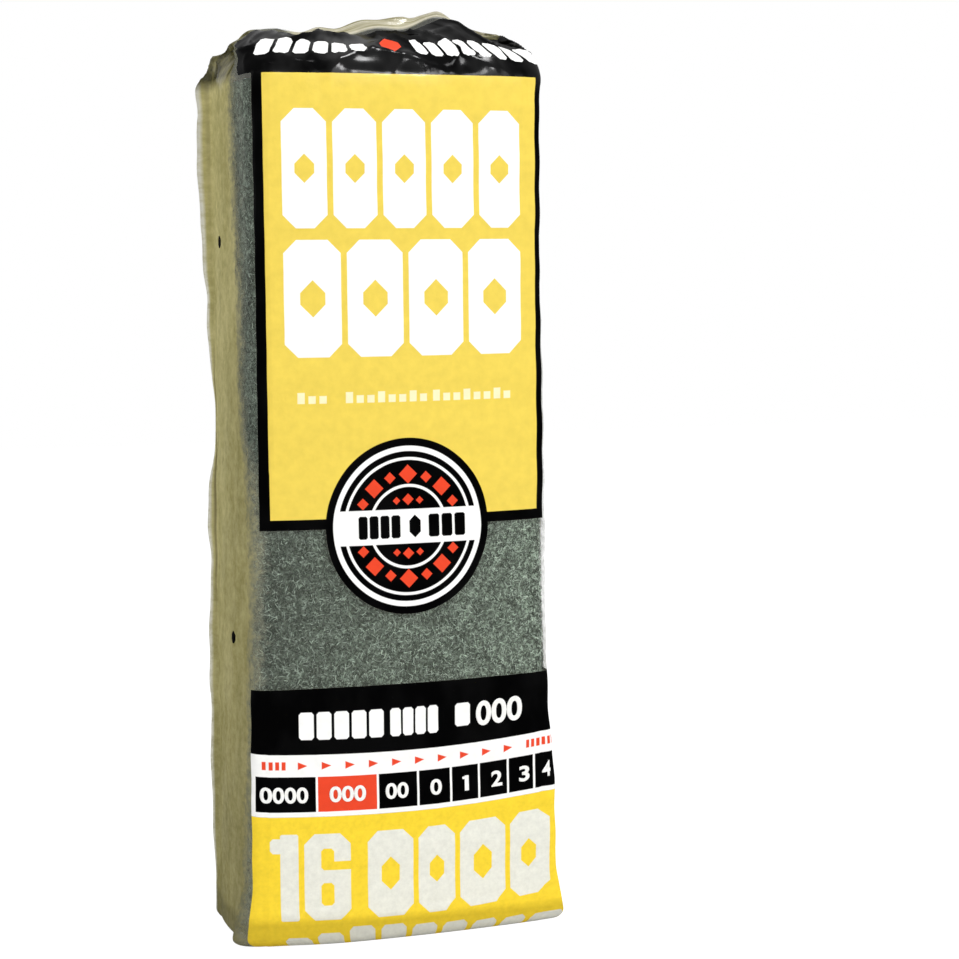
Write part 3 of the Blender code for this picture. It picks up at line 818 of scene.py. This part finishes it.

# %% [markdown]
# ## The finish of the film
# Ink is opaque and clear film is not, so one material carries both: the masks pick each ink's colour and
# also drive the alpha. Bare film is nearly clear over the window. Round the sides it hangs in slack layers
# that are cloudy, from a line a little behind the front edges that wanders with the height; their khaki
# colour is a painted reflection of warm surroundings, painted brighter up the side and towards the back.
# Over the gable's ends those layers are deeper and painted darker, as painted shade. Along the crest of the
# left pleat runs a pale line broken into painted glints, with a strip of painted shade just behind it. The
# web was not quite square on the pads, so the lower bands of the print sag by a few millimetres in the
# middle. Below the fold over the base the film is darkened by painted shade. The ink sits over soft wool
# and shows a fine grain through its bump.

# %% Make the film's material
INKS = {
    "black": (0.0010, 0.0010, 0.0011, 1),
    "yellow": (0.845, 0.640, 0.104, 1),
    "low yellow": (0.96, 0.69, 0.045, 1),
    "cream": (0.96, 0.88, 0.55, 1),
    "white": (0.96, 0.96, 0.94, 1),
    "low white": (0.82, 0.82, 0.74, 1),
    "red": (0.82, 0.070, 0.028, 1),
}
# The khaki pair below is a painted reflection of warm surroundings in the slack film.
HAZE_REFLECTION_DARK = (0.31, 0.28, 0.110, 1)
HAZE_REFLECTION_LIGHT = (0.50, 0.455, 0.215, 1)
# A pale tint with painted glints for the pleat's crest, and painted shade for the strip behind it.
CREST_PALE_GLINT = (0.82, 0.80, 0.68, 1)
CREST_SHADE = (0.16, 0.135, 0.055, 1)
# Painted shade for the slack film over the gable's ends.
TOP_HAZE_SHADE = (0.055, 0.050, 0.014, 1)
FIN_TINT = (0.62, 0.58, 0.44, 1)
FIN_SHADE = (0.27, 0.245, 0.115, 1)
CLEAR_TINT = (0.42, 0.44, 0.36, 1)
HAZE_START = (
    (0.0, 0.001), (0.015, 0.005), (0.085, 0.001), (0.13, 0.001), (0.17, 0.002), (0.20, 0.009),
    (0.30, 0.014),
)
# Steps of the painted reflection's brightness up the side of the film.
HAZE_REFLECTION_GAIN = ((0.0, 0.86), (0.05, 0.86), (0.13, 1.02), (0.20, 1.04), (0.27, 1.28), (0.31, 1.30))
BODY_GLOSS, TOP_GLOSS = 0.03, 0.24
HAZE_FADE = 0.011
HAZE_WANDER = 0.014
RIGHT_HAZE = 0.0545
CREST_HEIGHTS = (0.0, 0.08, 0.16, 0.24, SHOULDER)
CREST = [(z, corner_turns(width_at(z), depth_at(z))[1] * HALF_TURN) for z in CREST_HEIGHTS]
SAG = ((0.0, 0.0026), (0.048, 0.0024), (0.072, 0.0026), (0.095, 0.0003), (0.16, 0.0004), (0.32, 0.0))
WEB_TOP = 0.36


def by_height(tree, v, profile, most):
    """A value that follows a profile of (height, value) up the film, read from a colour ramp."""
    made = add_node(tree, "ShaderNodeValToRGB", (over(tree, v, WEB_TOP),))
    stops = made.color_ramp.elements
    stops.remove(stops[-1])
    for k, (height, value) in enumerate(profile):
        stop = stops[0] if k == 0 else stops.new(height / WEB_TOP)
        stop.position = height / WEB_TOP
        stop.color = (value / most, value / most, value / most, 1)
    return times(tree, made.outputs[0], most)


def draw_shapes(tree, place, shapes):
    """The union of the masks of a list of shapes."""
    union = None
    for kind, *numbers in shapes:
        made = add_node(tree, "ShaderNodeGroup", node_tree=SHAPES[kind])
        for socket, value in zip(made.inputs, (place, *numbers)):
            feed(tree, socket, value)
        union = made.outputs[0] if union is None else larger(tree, union, made.outputs[0])
    return union


def sagging_place(tree, u, v):
    """Where on the print a place on the film lies, with the sag of the lower bands."""
    across = over(tree, plus(tree, u, 0.006), 0.058)
    bow = larger(tree, minus(tree, 1.0, times(tree, across, across)), 0.0)
    moved = plus(tree, v, times(tree, bow, by_height(tree, v, SAG, 0.003)))
    return add_node(tree, "ShaderNodeCombineXYZ", (u, moved, 0.0)).outputs[0]


def bare_film(tree, place, u, v):
    """The colour and the alpha of film without ink."""
    patches = noise_at(tree, stretched(tree, place, 34, 12), 1.0, 3.0, seed=3.0)
    streaks = noise_at(tree, stretched(tree, place, 170, 65, 0.35), 1.0, 4.0, 0.6, seed=8.0)
    mottle = noise_at(tree, place, 320.0, 5.0, 0.7, seed=4.0)
    left_start = plus(tree, by_height(tree, v, HAZE_START, 0.03), RIGHT_HAZE - HAZE_FADE / 2)
    start = ramp(tree, u, -0.001, 0.001, 0.0, RIGHT_HAZE)
    start = larger(tree, start, times(tree, left_start, ramp(tree, u, 0.001, -0.001)))
    behind = minus(tree, unsigned(tree, u), start)
    spread = minus(tree, plus(tree, patches, mottle), 1.0)
    haze = ramp(tree, plus(tree, behind, times(tree, spread, HAZE_WANDER)), 0.0, HAZE_FADE)
    tone = plus(tree, times(tree, plus(tree, patches, streaks), 0.75), mottle)
    # The khaki colour of the slack layers is a painted reflection of warm surroundings; their haze itself
    # is real and lies in the alpha. The reflection is painted brighter towards the back and up the side.
    haze_with_painted_light = blend_colour(tree, ramp(tree, tone, 1.02, 1.48), HAZE_REFLECTION_DARK, HAZE_REFLECTION_LIGHT)
    side_reflection_gain = ramp(tree, unsigned(tree, u), 0.064, 0.100, 0.93, 1.15)
    haze_with_painted_light = scaled(tree, haze_with_painted_light, times(tree, side_reflection_gain, by_height(tree, v, HAZE_REFLECTION_GAIN, 2.0)))
    # Along the crest of the left pleat: a pale line, broken by the mottle into painted glints, and just
    # behind it a strip of painted shade.
    off_crest = unsigned(tree, plus(tree, u, by_height(tree, v, CREST, 0.12)))
    crest = times(tree, ramp(tree, off_crest, 0.0016, 0.0009), ramp(tree, mottle, 0.35, 0.55, 0.5, 1.0))
    behind_crest = ramp(tree, unsigned(tree, minus(tree, off_crest, 0.0024)), 0.0007, 0.0002)
    behind_crest = times(tree, behind_crest, ramp(tree, patches, 0.45, 0.60, 0.1, 0.8))
    haze_with_painted_light = blend_colour(tree, behind_crest, haze_with_painted_light, CREST_SHADE)
    haze_with_painted_light = blend_colour(tree, crest, haze_with_painted_light, CREST_PALE_GLINT)
    # Over the gable's ends the slack layers are painted dark: painted shade for the shadowed, gathered top.
    over_top = ramp(tree, v, SHOULDER - 0.001, SHOULDER + 0.005)
    folded_shade = blend_colour(tree, ramp(tree, streaks, 0.45, 0.75), TOP_HAZE_SHADE, HAZE_REFLECTION_DARK)
    haze_with_painted_light = blend_colour(tree, over_top, haze_with_painted_light, folded_shade)
    colour = blend_colour(tree, haze, CLEAR_TINT, haze_with_painted_light)
    from_left_end = unsigned(tree, plus(tree, u, HALF_TURN / 2))
    past_ridge = ramp(tree, v, RIDGE_V - 0.0006, RIDGE_V + 0.0006)
    on_fin = times(tree, past_ridge, ramp(tree, from_left_end, 0.028, 0.036))
    fin_lines = ramp(tree, noise_at(tree, stretched(tree, place, 26, 800), 1.0, 2.0, seed=11.0), 0.40, 0.62)
    colour = blend_colour(tree, on_fin, colour, blend_colour(tree, fin_lines, FIN_SHADE, FIN_TINT))
    milky = times(tree, ramp(tree, u, -0.0535, -0.0600), ramp(tree, mottle, 0.35, 0.65, 0.10, 0.34))
    alpha = larger(tree, milky, ramp(tree, haze, 0.0, 1.0, 0.06, 0.93))
    alpha = larger(tree, alpha, times(tree, on_fin, 0.93))
    clear_fin = times(tree, on_fin, ramp(tree, patches, 0.3, 0.7, 0.30, 0.05))
    return colour, minus(tree, alpha, clear_fin)


def film_material():
    made, tree, shader = new_material("printed_film")
    place = add_node(tree, "ShaderNodeUVMap", uv_map=WEB_MAP).outputs[0]
    apart = add_node(tree, "ShaderNodeSeparateXYZ", (place,))
    u, v = apart.outputs[0], apart.outputs[1]
    colour, alpha = bare_film(tree, place, u, v)
    printed = sagging_place(tree, u, v)
    ink = None
    for name, shapes in LAYERS:
        mask = draw_shapes(tree, printed, shapes)
        colour = blend_colour(tree, mask, colour, INKS[name])
        ink = mask if ink is None else larger(tree, ink, mask)
    # Below the fold over the base the colour is darkened to 0.70 of itself: painted shade where the film
    # turns under.
    fold = minus(tree, FOLD_HEIGHT, times(tree, plus(tree, u, -FOLD_FROM), FOLD_SLOPE))
    low = ramp(tree, minus(tree, v, fold), 0.0006, -0.0030)
    shade = ramp(tree, noise_at(tree, place, 260.0, 4.0, seed=5.0), 0.3, 0.7, 0.95, 1.03)
    shade = times(tree, shade, ramp(tree, low, 0.0, 1.0, 1.0, 0.70))
    marks = noise_at(tree, place, 620.0, 3.0, 0.6, seed=9.0)
    pressed = times(tree, ramp(tree, v, 0.055, 0.045), marks)
    shade = times(tree, shade, ramp(tree, pressed, 0.35, 0.75, 1.0, 0.90))
    fill(tree, shader, {"Base Color": scaled(tree, colour, shade), "Alpha": larger(tree, alpha, ink)})
    smear = noise_at(tree, stretched(tree, place, 60, 40), 1.0, 3.0, seed=2.0)
    gloss = ramp(tree, v, SHOULDER - 0.004, SHOULDER + 0.002, BODY_GLOSS, TOP_GLOSS)
    coat = times(tree, gloss, ramp(tree, smear, 0.44, 0.60, 0.25, 1.6))
    fill(tree, shader, {"Roughness": ramp(tree, smear, 0.3, 0.7, 0.10, 0.22), "Specular IOR Level": 0.0})
    fill(tree, shader, {"Coat Weight": coat, "Coat Roughness": 0.14})
    grain = noise_at(tree, place, 700.0, 3.0, seed=1.0)
    crinkle = noise_at(tree, stretched(tree, place, 170, 90, 0.5), 1.0, 4.0, seed=6.0)
    relief = plus(tree, times(tree, grain, 0.4), crinkle)
    fill(tree, shader, {"Normal": bumped(tree, relief, 0.30, 0.0006)})
    print("film material:", len(tree.nodes), "nodes")
    return made


FILM = make_film(film_material())
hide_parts("film_sleeve")
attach(FILM, "root")

# %% [markdown]
# ## The pads
# A pad of steel wool is a folded fleece of very fine curled fibres. Its body is a soft rounded block that
# keeps the pack's section a little inside the film. A noise pushes its surface in and out. Its material
# draws layers of fine strokes in several directions, which is how a tangle of fibres looks from outside.

# %% Make the pads
PAD_COLUMNS = 168
PAD_BODY_ROWS = 8
PAD_EDGE_ROWS = 3
PAD_EDGE = 0.0003
PAD_TOUCH = 0.00012
FLEECE_INSET = 0.0011
FLEECE_ROUGHNESS = 0.00022
PAD_FRONT_CORNER = FRONT_CORNER + 0.0010
PAD_BACK_CORNER = BACK_CORNER + 0.0080
PAD_SWELL = 0.85


def base_inset(z):
    if z >= BASE_EDGE_RISE:
        return 0.0
    rise = 1 - z / BASE_EDGE_RISE
    return BASE_EDGE_RUN * (1 - math.sqrt(1 - rise**2))


def pack_point(turn, z, inset):
    """A point inside the film, at a depth of inset under it."""
    pushed = base_inset(z)
    inwards = 2 * (inset + pushed)
    width, depth = width_at(z) - inwards, depth_at(z) - inwards
    x, y = around(turn, width, depth, PAD_FRONT_CORNER, PAD_BACK_CORNER, PAD_SWELL)
    return Vector((x, y, z))


def make_pad(number, node, material):
    low, high = (corner.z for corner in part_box(node))
    low, high = low - PAD_TOUCH, high + PAD_TOUCH
    levels = []
    for i in range(PAD_EDGE_ROWS):
        a = math.radians(90 * i / PAD_EDGE_ROWS)
        levels.append((low + PAD_EDGE * (1 - math.cos(a)), PAD_EDGE * (1 - math.sin(a))))
    for i in range(PAD_BODY_ROWS + 1):
        levels.append((low + PAD_EDGE + (high - low - 2 * PAD_EDGE) * i / PAD_BODY_ROWS, 0.0))
    levels += [(low + high - z, inset) for z, inset in reversed(levels[:PAD_EDGE_ROWS])]

    def point(i, j):
        z, inset = levels[j]
        turn = 2 * i / PAD_COLUMNS - 1
        rough = FLEECE_ROUGHNESS * noise.noise(Vector((abs(turn) * 60 + 9 * (turn > 0), z * 420, 0.5)))
        if abs(turn) == 1:
            return pack_point(1.0, z, FLEECE_INSET + inset)
        return pack_point(turn, z, FLEECE_INSET + inset - rough)

    def flat(i, j):
        return (2 * i / PAD_COLUMNS - 1) * HALF_TURN, levels[j][0]

    bm = make_web(len(levels) - 1, PAD_COLUMNS, point, flat)
    return finish_mesh(f"wool_{number:02d}", bm, material)


# %% [markdown]
# ## The finish of the wool
# A noise read along strongly stretched coordinates gives strokes, and four turns of it, bent by a slow
# noise, give a tangle. Bright strokes are fibres in the light, dark ones are gaps. The wool is painted
# darker to the left of the front, a painted shade as the light falls off there, and painted lighter again
# on the left side. Each loose fibre has a tone at random, mostly dark with a few bright ones as painted
# glints, scaled by painted shade to the left and painted light to the right.

# %% Make the wool's materials
WOOL_DARK = (0.022, 0.031, 0.021, 1)
WOOL_LIGHT = (0.44, 0.56, 0.44, 1)
STROKE_TURNS_DEG = (8, 52, 97, 141)
FIBRE_DARK = (0.028, 0.040, 0.028, 1)
FIBRE_LIGHT = (0.70, 0.84, 0.70, 1)


def tangle_group():
    group = new_group("tangle", ())[0]
    place = group.nodes["Group Input"].outputs["Place"]
    bent = add_node(group, "ShaderNodeTexNoise")
    fill(group, bent, {"Vector": place, "Scale": 190.0})
    centred = (bent.outputs["Color"], (0.5, 0.5, 0.5))
    push = add_node(group, "ShaderNodeVectorMath", centred, operation="SUBTRACT").outputs[0]
    push = scaled(group, push, 0.0065)
    moved = add_node(group, "ShaderNodeVectorMath", (place, push), operation="ADD").outputs[0]
    union = None
    for k, turn in enumerate(STROKE_TURNS_DEG):
        drawn_out = stretched(group, moved, 3000, 420, math.radians(turn))
        strokes = noise_at(group, drawn_out, 1.0, 1.0, seed=4.0 * k)
        line = ramp(group, unsigned(group, minus(group, strokes, 0.5)), 0.10, 0.0)
        union = line if union is None else larger(group, union, line)
    add_node(group, "NodeGroupOutput", (union,))
    return group


TANGLE = tangle_group()


def wool_material():
    made, tree, shader = new_material("steel_wool")
    place = add_node(tree, "ShaderNodeUVMap", uv_map=WEB_MAP).outputs[0]
    tangle = add_node(tree, "ShaderNodeGroup", node_tree=TANGLE)
    feed(tree, tangle.inputs["Place"], place)
    clumps = noise_at(tree, place, 130.0, 4.0, 0.6, seed=2.0)
    drift = noise_at(tree, place, 28.0, 3.0, 0.5, seed=6.0)
    level = times(tree, tangle.outputs[0], ramp(tree, clumps, 0.3, 0.7, 0.35, 1.0))
    level = plus(tree, level, ramp(tree, drift, 0.3, 0.7, -0.16, 0.12))
    across = add_node(tree, "ShaderNodeSeparateXYZ", (place,)).outputs[0]
    grain = noise_at(tree, place, 850.0, 3.0, 0.75, seed=5.0)
    level = times(tree, level, ramp(tree, grain, 0.36, 0.64, 0.15, 1.65))
    wool = blend_colour(tree, level, WOOL_DARK, WOOL_LIGHT)
    # Painted shade darkens the wool to the left of the front, where the light falls off, and painted light
    # brightens it again on the left side.
    wool = scaled(tree, wool, ramp(tree, across, -0.050, 0.050, 0.66, 1.38))
    wool = scaled(tree, wool, ramp(tree, across, -0.054, -0.060, 1.0, 1.3))
    fill(tree, shader, {"Base Color": wool, "Metallic": 0.25, "Roughness": 0.55})
    fill(tree, shader, {"Normal": bumped(tree, level, 0.7, 0.0004)})
    return made


def fibre_material():
    made, tree, shader = new_material("steel_fibre")
    tone = add_node(tree, "ShaderNodeAttribute", attribute_name="tone").outputs["Fac"]
    colour = blend_colour(tree, tone, FIBRE_DARK, FIBRE_LIGHT)
    fill(tree, shader, {"Base Color": colour, "Metallic": 0.35, "Roughness": 0.42})
    return made


WOOL_MATERIAL = wool_material()
FIBRE_MATERIAL = fibre_material()
for number, pad_node in enumerate(PAD_NODES, 1):
    pad = make_pad(number, pad_node, WOOL_MATERIAL)
    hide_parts(pad_node)
    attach(pad, "root")
print("pads:", len(PAD_NODES), "of", len(pad.data.polygons), "faces")

# %% [markdown]
# ## Loose fibres
# A flat pattern can't catch the light as real fibres do, so curled fibres lie over each pad, between its
# surface and the film. Each is a short curve that bends steadily and dips in and out of the fleece. All
# of a pad's fibres are splines of one curve object with a thin bevel, which is then made a mesh. They are
# placed where they can be seen: in the window, on the sides and on the back.

# %% Grow the fibres
FIBRE_POINTS = 4
FIBRE_RADIUS = 0.00011
FIBRE_LENGTHS = (0.0010, 0.0036)
WINDOW = (BAND_TOP - 0.002, LABEL_BOTTOM + 0.002)
FRONT_REACH = 0.0560
SIDE_REACH = 0.1130
WINDOW_FIBRES = 5600
SIDE_FIBRES = 420
BACK_FIBRES = 60


def fibre_places(chance, low, high):
    """Random starts of fibres over one pad, as (u, z)."""
    places = []
    if high > WINDOW[0] and low < WINDOW[1]:
        for _ in range(WINDOW_FIBRES):
            places.append((chance.uniform(-FRONT_REACH, FRONT_REACH), chance.uniform(low, high)))
    for sign in (-1, 1):
        spread = [chance.uniform(0, 1) ** 2 for _ in range(SIDE_FIBRES)]
        for s in spread:
            u = sign * (FRONT_REACH + s * (SIDE_REACH - FRONT_REACH))
            places.append((u, chance.uniform(low, high)))
    for _ in range(BACK_FIBRES):
        u = chance.choice((-1, 1)) * chance.uniform(SIDE_REACH, HALF_TURN)
        places.append((u, chance.uniform(low, high)))
    return places


def fibre_points(chance, u, z):
    heading = chance.uniform(0, 2 * math.pi)
    length = chance.uniform(*FIBRE_LENGTHS)
    bend = chance.uniform(-2.4, 2.4) / FIBRE_POINTS
    depth = chance.uniform(0.00055, 0.00105)
    wave = chance.uniform(0, 6.28)
    points = []
    for k in range(FIBRE_POINTS):
        level = min(max(z, STACK_BOTTOM), SHOULDER - PAD_EDGE)
        inset = depth + 0.00018 * math.sin(wave + 1.9 * k)
        turn = (u / HALF_TURN + 1) % 2 - 1
        points.append(pack_point(turn, level, inset))
        u += math.cos(heading) * length / (FIBRE_POINTS - 1)
        z += math.sin(heading) * length / (FIBRE_POINTS - 1)
        heading += bend
    return points


def mesh_of(curve):
    """The mesh that a curve or a text makes."""
    helper = bpy.data.objects.new("helper", curve)
    bpy.context.scene.collection.objects.link(helper)
    bpy.context.view_layer.update()
    mesh = bpy.data.meshes.new_from_object(helper.evaluated_get(bpy.context.evaluated_depsgraph_get()))
    bpy.data.objects.remove(helper)
    return mesh


def make_fibres(number, node, material):
    chance = random.Random(number)
    low, high = (corner.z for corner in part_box(node))
    curve = bpy.data.curves.new("fibres", "CURVE")
    curve.dimensions = "3D"
    curve.bevel_depth = FIBRE_RADIUS
    curve.bevel_resolution = 0
    tones = []
    for u, z in fibre_places(chance, low, high):
        spline = curve.splines.new("POLY")
        spline.points.add(FIBRE_POINTS - 1)
        spline.points.foreach_set("co", [c for p in fibre_points(chance, u, z) for c in (*p, 1.0)])
        spline.points.foreach_set("radius", [0.0, 1.0, 1.0, 0.0])
        # Each fibre's tone is random, with a few bright ones as painted glints, and it is scaled by place:
        # painted shade to the left of the front and painted light to the right.
        tones.append(chance.random() ** 3.2 * min(max(1.15 + u * 7, 0.7), 1.6))
    mesh = mesh_of(curve)
    share = len(mesh.vertices) // len(tones)
    attribute = mesh.attributes.new("tone", "FLOAT", "POINT")
    attribute.data.foreach_set("value", [tone for tone in tones for _ in range(share)])
    bm = bmesh.new()
    bm.from_mesh(mesh)
    bmesh.ops.remove_doubles(bm, verts=bm.verts, dist=1e-7)
    bmesh.ops.recalc_face_normals(bm, faces=bm.faces)
    piece = finish_mesh(f"fibres_{number:02d}", bm, material)
    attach(piece, "root")
    return len(tones), share, len(piece.data.polygons)


for number, pad_node in enumerate(PAD_NODES, 1):
    grown = make_fibres(number, pad_node, FIBRE_MATERIAL)
print("fibres: last pad", grown)

# %% [markdown]
# ## Plain numerals
# Numbers are drawn as their own thin layer of ink. A text object is made a mesh, scaled to its place in
# flat coordinates, cut into small pieces so that it can bend, given a thickness, and laid on the film.

# %% Lay the numerals on the film
NUMERALS = (
    # text, middle u, middle v, width, height
    ("0000", -0.0456, 0.0576, 0.0172, 0.0058),
    ("000", -0.0226, 0.0576, 0.0134, 0.0058),
    ("00", -0.0044, 0.0576, 0.0086, 0.0058),
    ("0", 0.0103, 0.0576, 0.0044, 0.0058),
    ("2", 0.0341, 0.0576, 0.0044, 0.0058),
    ("3", 0.0452, 0.0576, 0.0042, 0.0058),
    ("4", 0.0549, 0.0576, 0.0044, 0.0058),
    ("000", 0.0352, 0.0826, 0.0184, 0.0092),
)
SAG_AT_NUMERALS = 0.0024
INK_LIFT = 0.00018
INK_THICKNESS = 0.00008
INK_DIM, INK_BRIGHT = (0.86, 0.86, 0.82, 1), (0.95, 0.95, 0.93, 1)
NUMERAL_STEP = 0.0010


def text_mesh(text):
    curve = bpy.data.curves.new("numeral", "FONT")
    curve.body = text
    curve.offset = 0.028
    curve.resolution_u = 6
    return mesh_of(curve)


def cut_in_strips(bm, axis):
    """Cuts the flat mesh along an axis into strips of NUMERAL_STEP."""
    values = [vert.co[axis] for vert in bm.verts]
    direction = Vector((axis == 0, axis == 1, 0))
    at = min(values) + NUMERAL_STEP
    while at < max(values):
        geometry = list(bm.verts) + list(bm.edges) + list(bm.faces)
        bmesh.ops.bisect_plane(bm, geom=geometry, plane_co=direction * at, plane_no=direction, dist=1e-7)
        at += NUMERAL_STEP


def add_numeral(target, surface, text, at_u, at_v, width, height):
    mesh = text_mesh(text)
    bm = bmesh.new()
    bm.from_mesh(mesh)
    bmesh.ops.remove_doubles(bm, verts=bm.verts, dist=1e-5)
    xs = [vert.co.x for vert in bm.verts]
    ys = [vert.co.y for vert in bm.verts]
    for vert in bm.verts:
        across = (vert.co.x - min(xs)) / (max(xs) - min(xs)) - 0.5
        up = (vert.co.y - min(ys)) / (max(ys) - min(ys)) - 0.5
        vert.co = Vector((at_u + across * width, at_v + up * height, 0.0))
    cut_in_strips(bm, 0)
    cut_in_strips(bm, 1)
    for face in bm.faces:
        if face.normal.z < 0:
            face.normal_flip()
    bmesh.ops.solidify(bm, geom=list(bm.faces), thickness=INK_THICKNESS)
    for vert in bm.verts:
        u, v, lift = vert.co.x, vert.co.y, vert.co.z
        level = v - SAG_AT_NUMERALS * (1 - ((u + 0.006) / 0.058) ** 2)
        x = around(u / HALF_TURN, width_at(level), depth_at(level))[0]
        spot, normal = surface.ray_cast(Vector((x, -1.0, level)), Vector((0, 1, 0)))[:2]
        vert.co = spot + normal * (INK_LIFT + INK_THICKNESS + lift)
    bm.to_mesh(mesh)
    bm.free()
    target.from_mesh(mesh)


def make_numerals():
    ready = bmesh.new()
    ready.from_mesh(FILM.data)
    surface = BVHTree.FromBMesh(ready)
    ready.free()
    ink, tree, shader = new_material("white_ink")
    place = add_node(tree, "ShaderNodeTexCoord").outputs["Object"]
    grain = ramp(tree, noise_at(tree, place, 900.0, 3.0), 0.3, 0.7)
    fill(tree, shader, {"Base Color": blend_colour(tree, grain, INK_DIM, INK_BRIGHT), "Roughness": 0.25})
    bm = bmesh.new()
    for numeral in NUMERALS:
        add_numeral(bm, surface, *numeral)
    bmesh.ops.recalc_face_normals(bm, faces=bm.faces)
    piece = finish_mesh("numerals", bm, ink)
    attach(piece, "root")
    print("numerals:", len(piece.data.polygons), "faces")


make_numerals()

# %% [markdown]
# ## Floor and light
# A pale floor and a white world stand in for a photographer's table. The floor and the world are white
# where the camera sees them, by the Light Path node, so the background needs no extra light. A large soft
# lamp and a small sharper one stand in front, one fills from the left and one lights the gable from above.

# %% Set the stage
FLOOR_SIZE = 6.0
FLOOR_SHADOW = 0.25
FLOOR_GLOW = 1.3


def seen_straight(tree):
    """1 where the camera, or a mirror or glass, sees the surface."""
    path = add_node(tree, "ShaderNodeLightPath")
    seen = larger(tree, path.outputs["Is Camera Ray"], path.outputs["Is Glossy Ray"])
    return larger(tree, seen, path.outputs["Is Transmission Ray"])


def add_floor():
    bm = bmesh.new()
    bmesh.ops.create_grid(bm, x_segments=1, y_segments=1, size=FLOOR_SIZE / 2)
    material, tree, shader = new_material("pale_floor")
    tree.nodes.remove(shader)
    plain = add_node(tree, "ShaderNodeBsdfDiffuse", ((0.85, 0.85, 0.85, 1),))
    white = add_node(tree, "ShaderNodeEmission", ((1, 1, 1, 1), FLOOR_GLOW))
    share = times(tree, seen_straight(tree), 1 - FLOOR_SHADOW)
    mixed = add_node(tree, "ShaderNodeMixShader", (share, plain.outputs[0], white.outputs[0]))
    tree.links.new(mixed.outputs[0], tree.nodes["Material Output"].inputs["Surface"])
    floor = finish_mesh("floor", bm, material)


def add_world():
    world = bpy.data.worlds.new("studio")
    bpy.context.scene.world = world
    world.use_nodes = True
    tree = world.node_tree
    background = tree.nodes["Background"]
    background.inputs["Color"].default_value = (1, 1, 1, 1)
    feed(tree, background.inputs["Strength"], ramp(tree, seen_straight(tree), 0.0, 1.0, 0.40, 1.0))


def add_lamp(name, place, aim, width, height, power):
    data = bpy.data.lights.new(name, "AREA")
    data.shape = "RECTANGLE"
    data.size = width
    data.size_y = height
    data.energy = power
    lamp = bpy.data.objects.new(name, data)
    towards = (Vector(aim) - Vector(place)).normalized()
    lamp.matrix_world = Matrix.Translation(place) @ towards.to_track_quat("-Z", "Y").to_matrix().to_4x4()
    bpy.context.scene.collection.objects.link(lamp)


add_floor()
add_world()
add_lamp("front_soft", (0.55, -1.45, 0.85), (0, 0, 0.16), 0.9, 0.7, 7.8)
add_lamp("front_key", (0.51, -1.19, 1.13), (0, 0, 0.25), 0.28, 0.24, 6.4)
add_lamp("left_fill", (-1.4, -0.5, 0.7), (0, 0, 0.16), 0.8, 1.0, 5.0)
add_lamp("overhead", (0.35, -0.10, 1.45), (0, 0, 0.30), 0.24, 0.24, 7.0)
bpy.context.scene.view_settings.view_transform = "Standard"
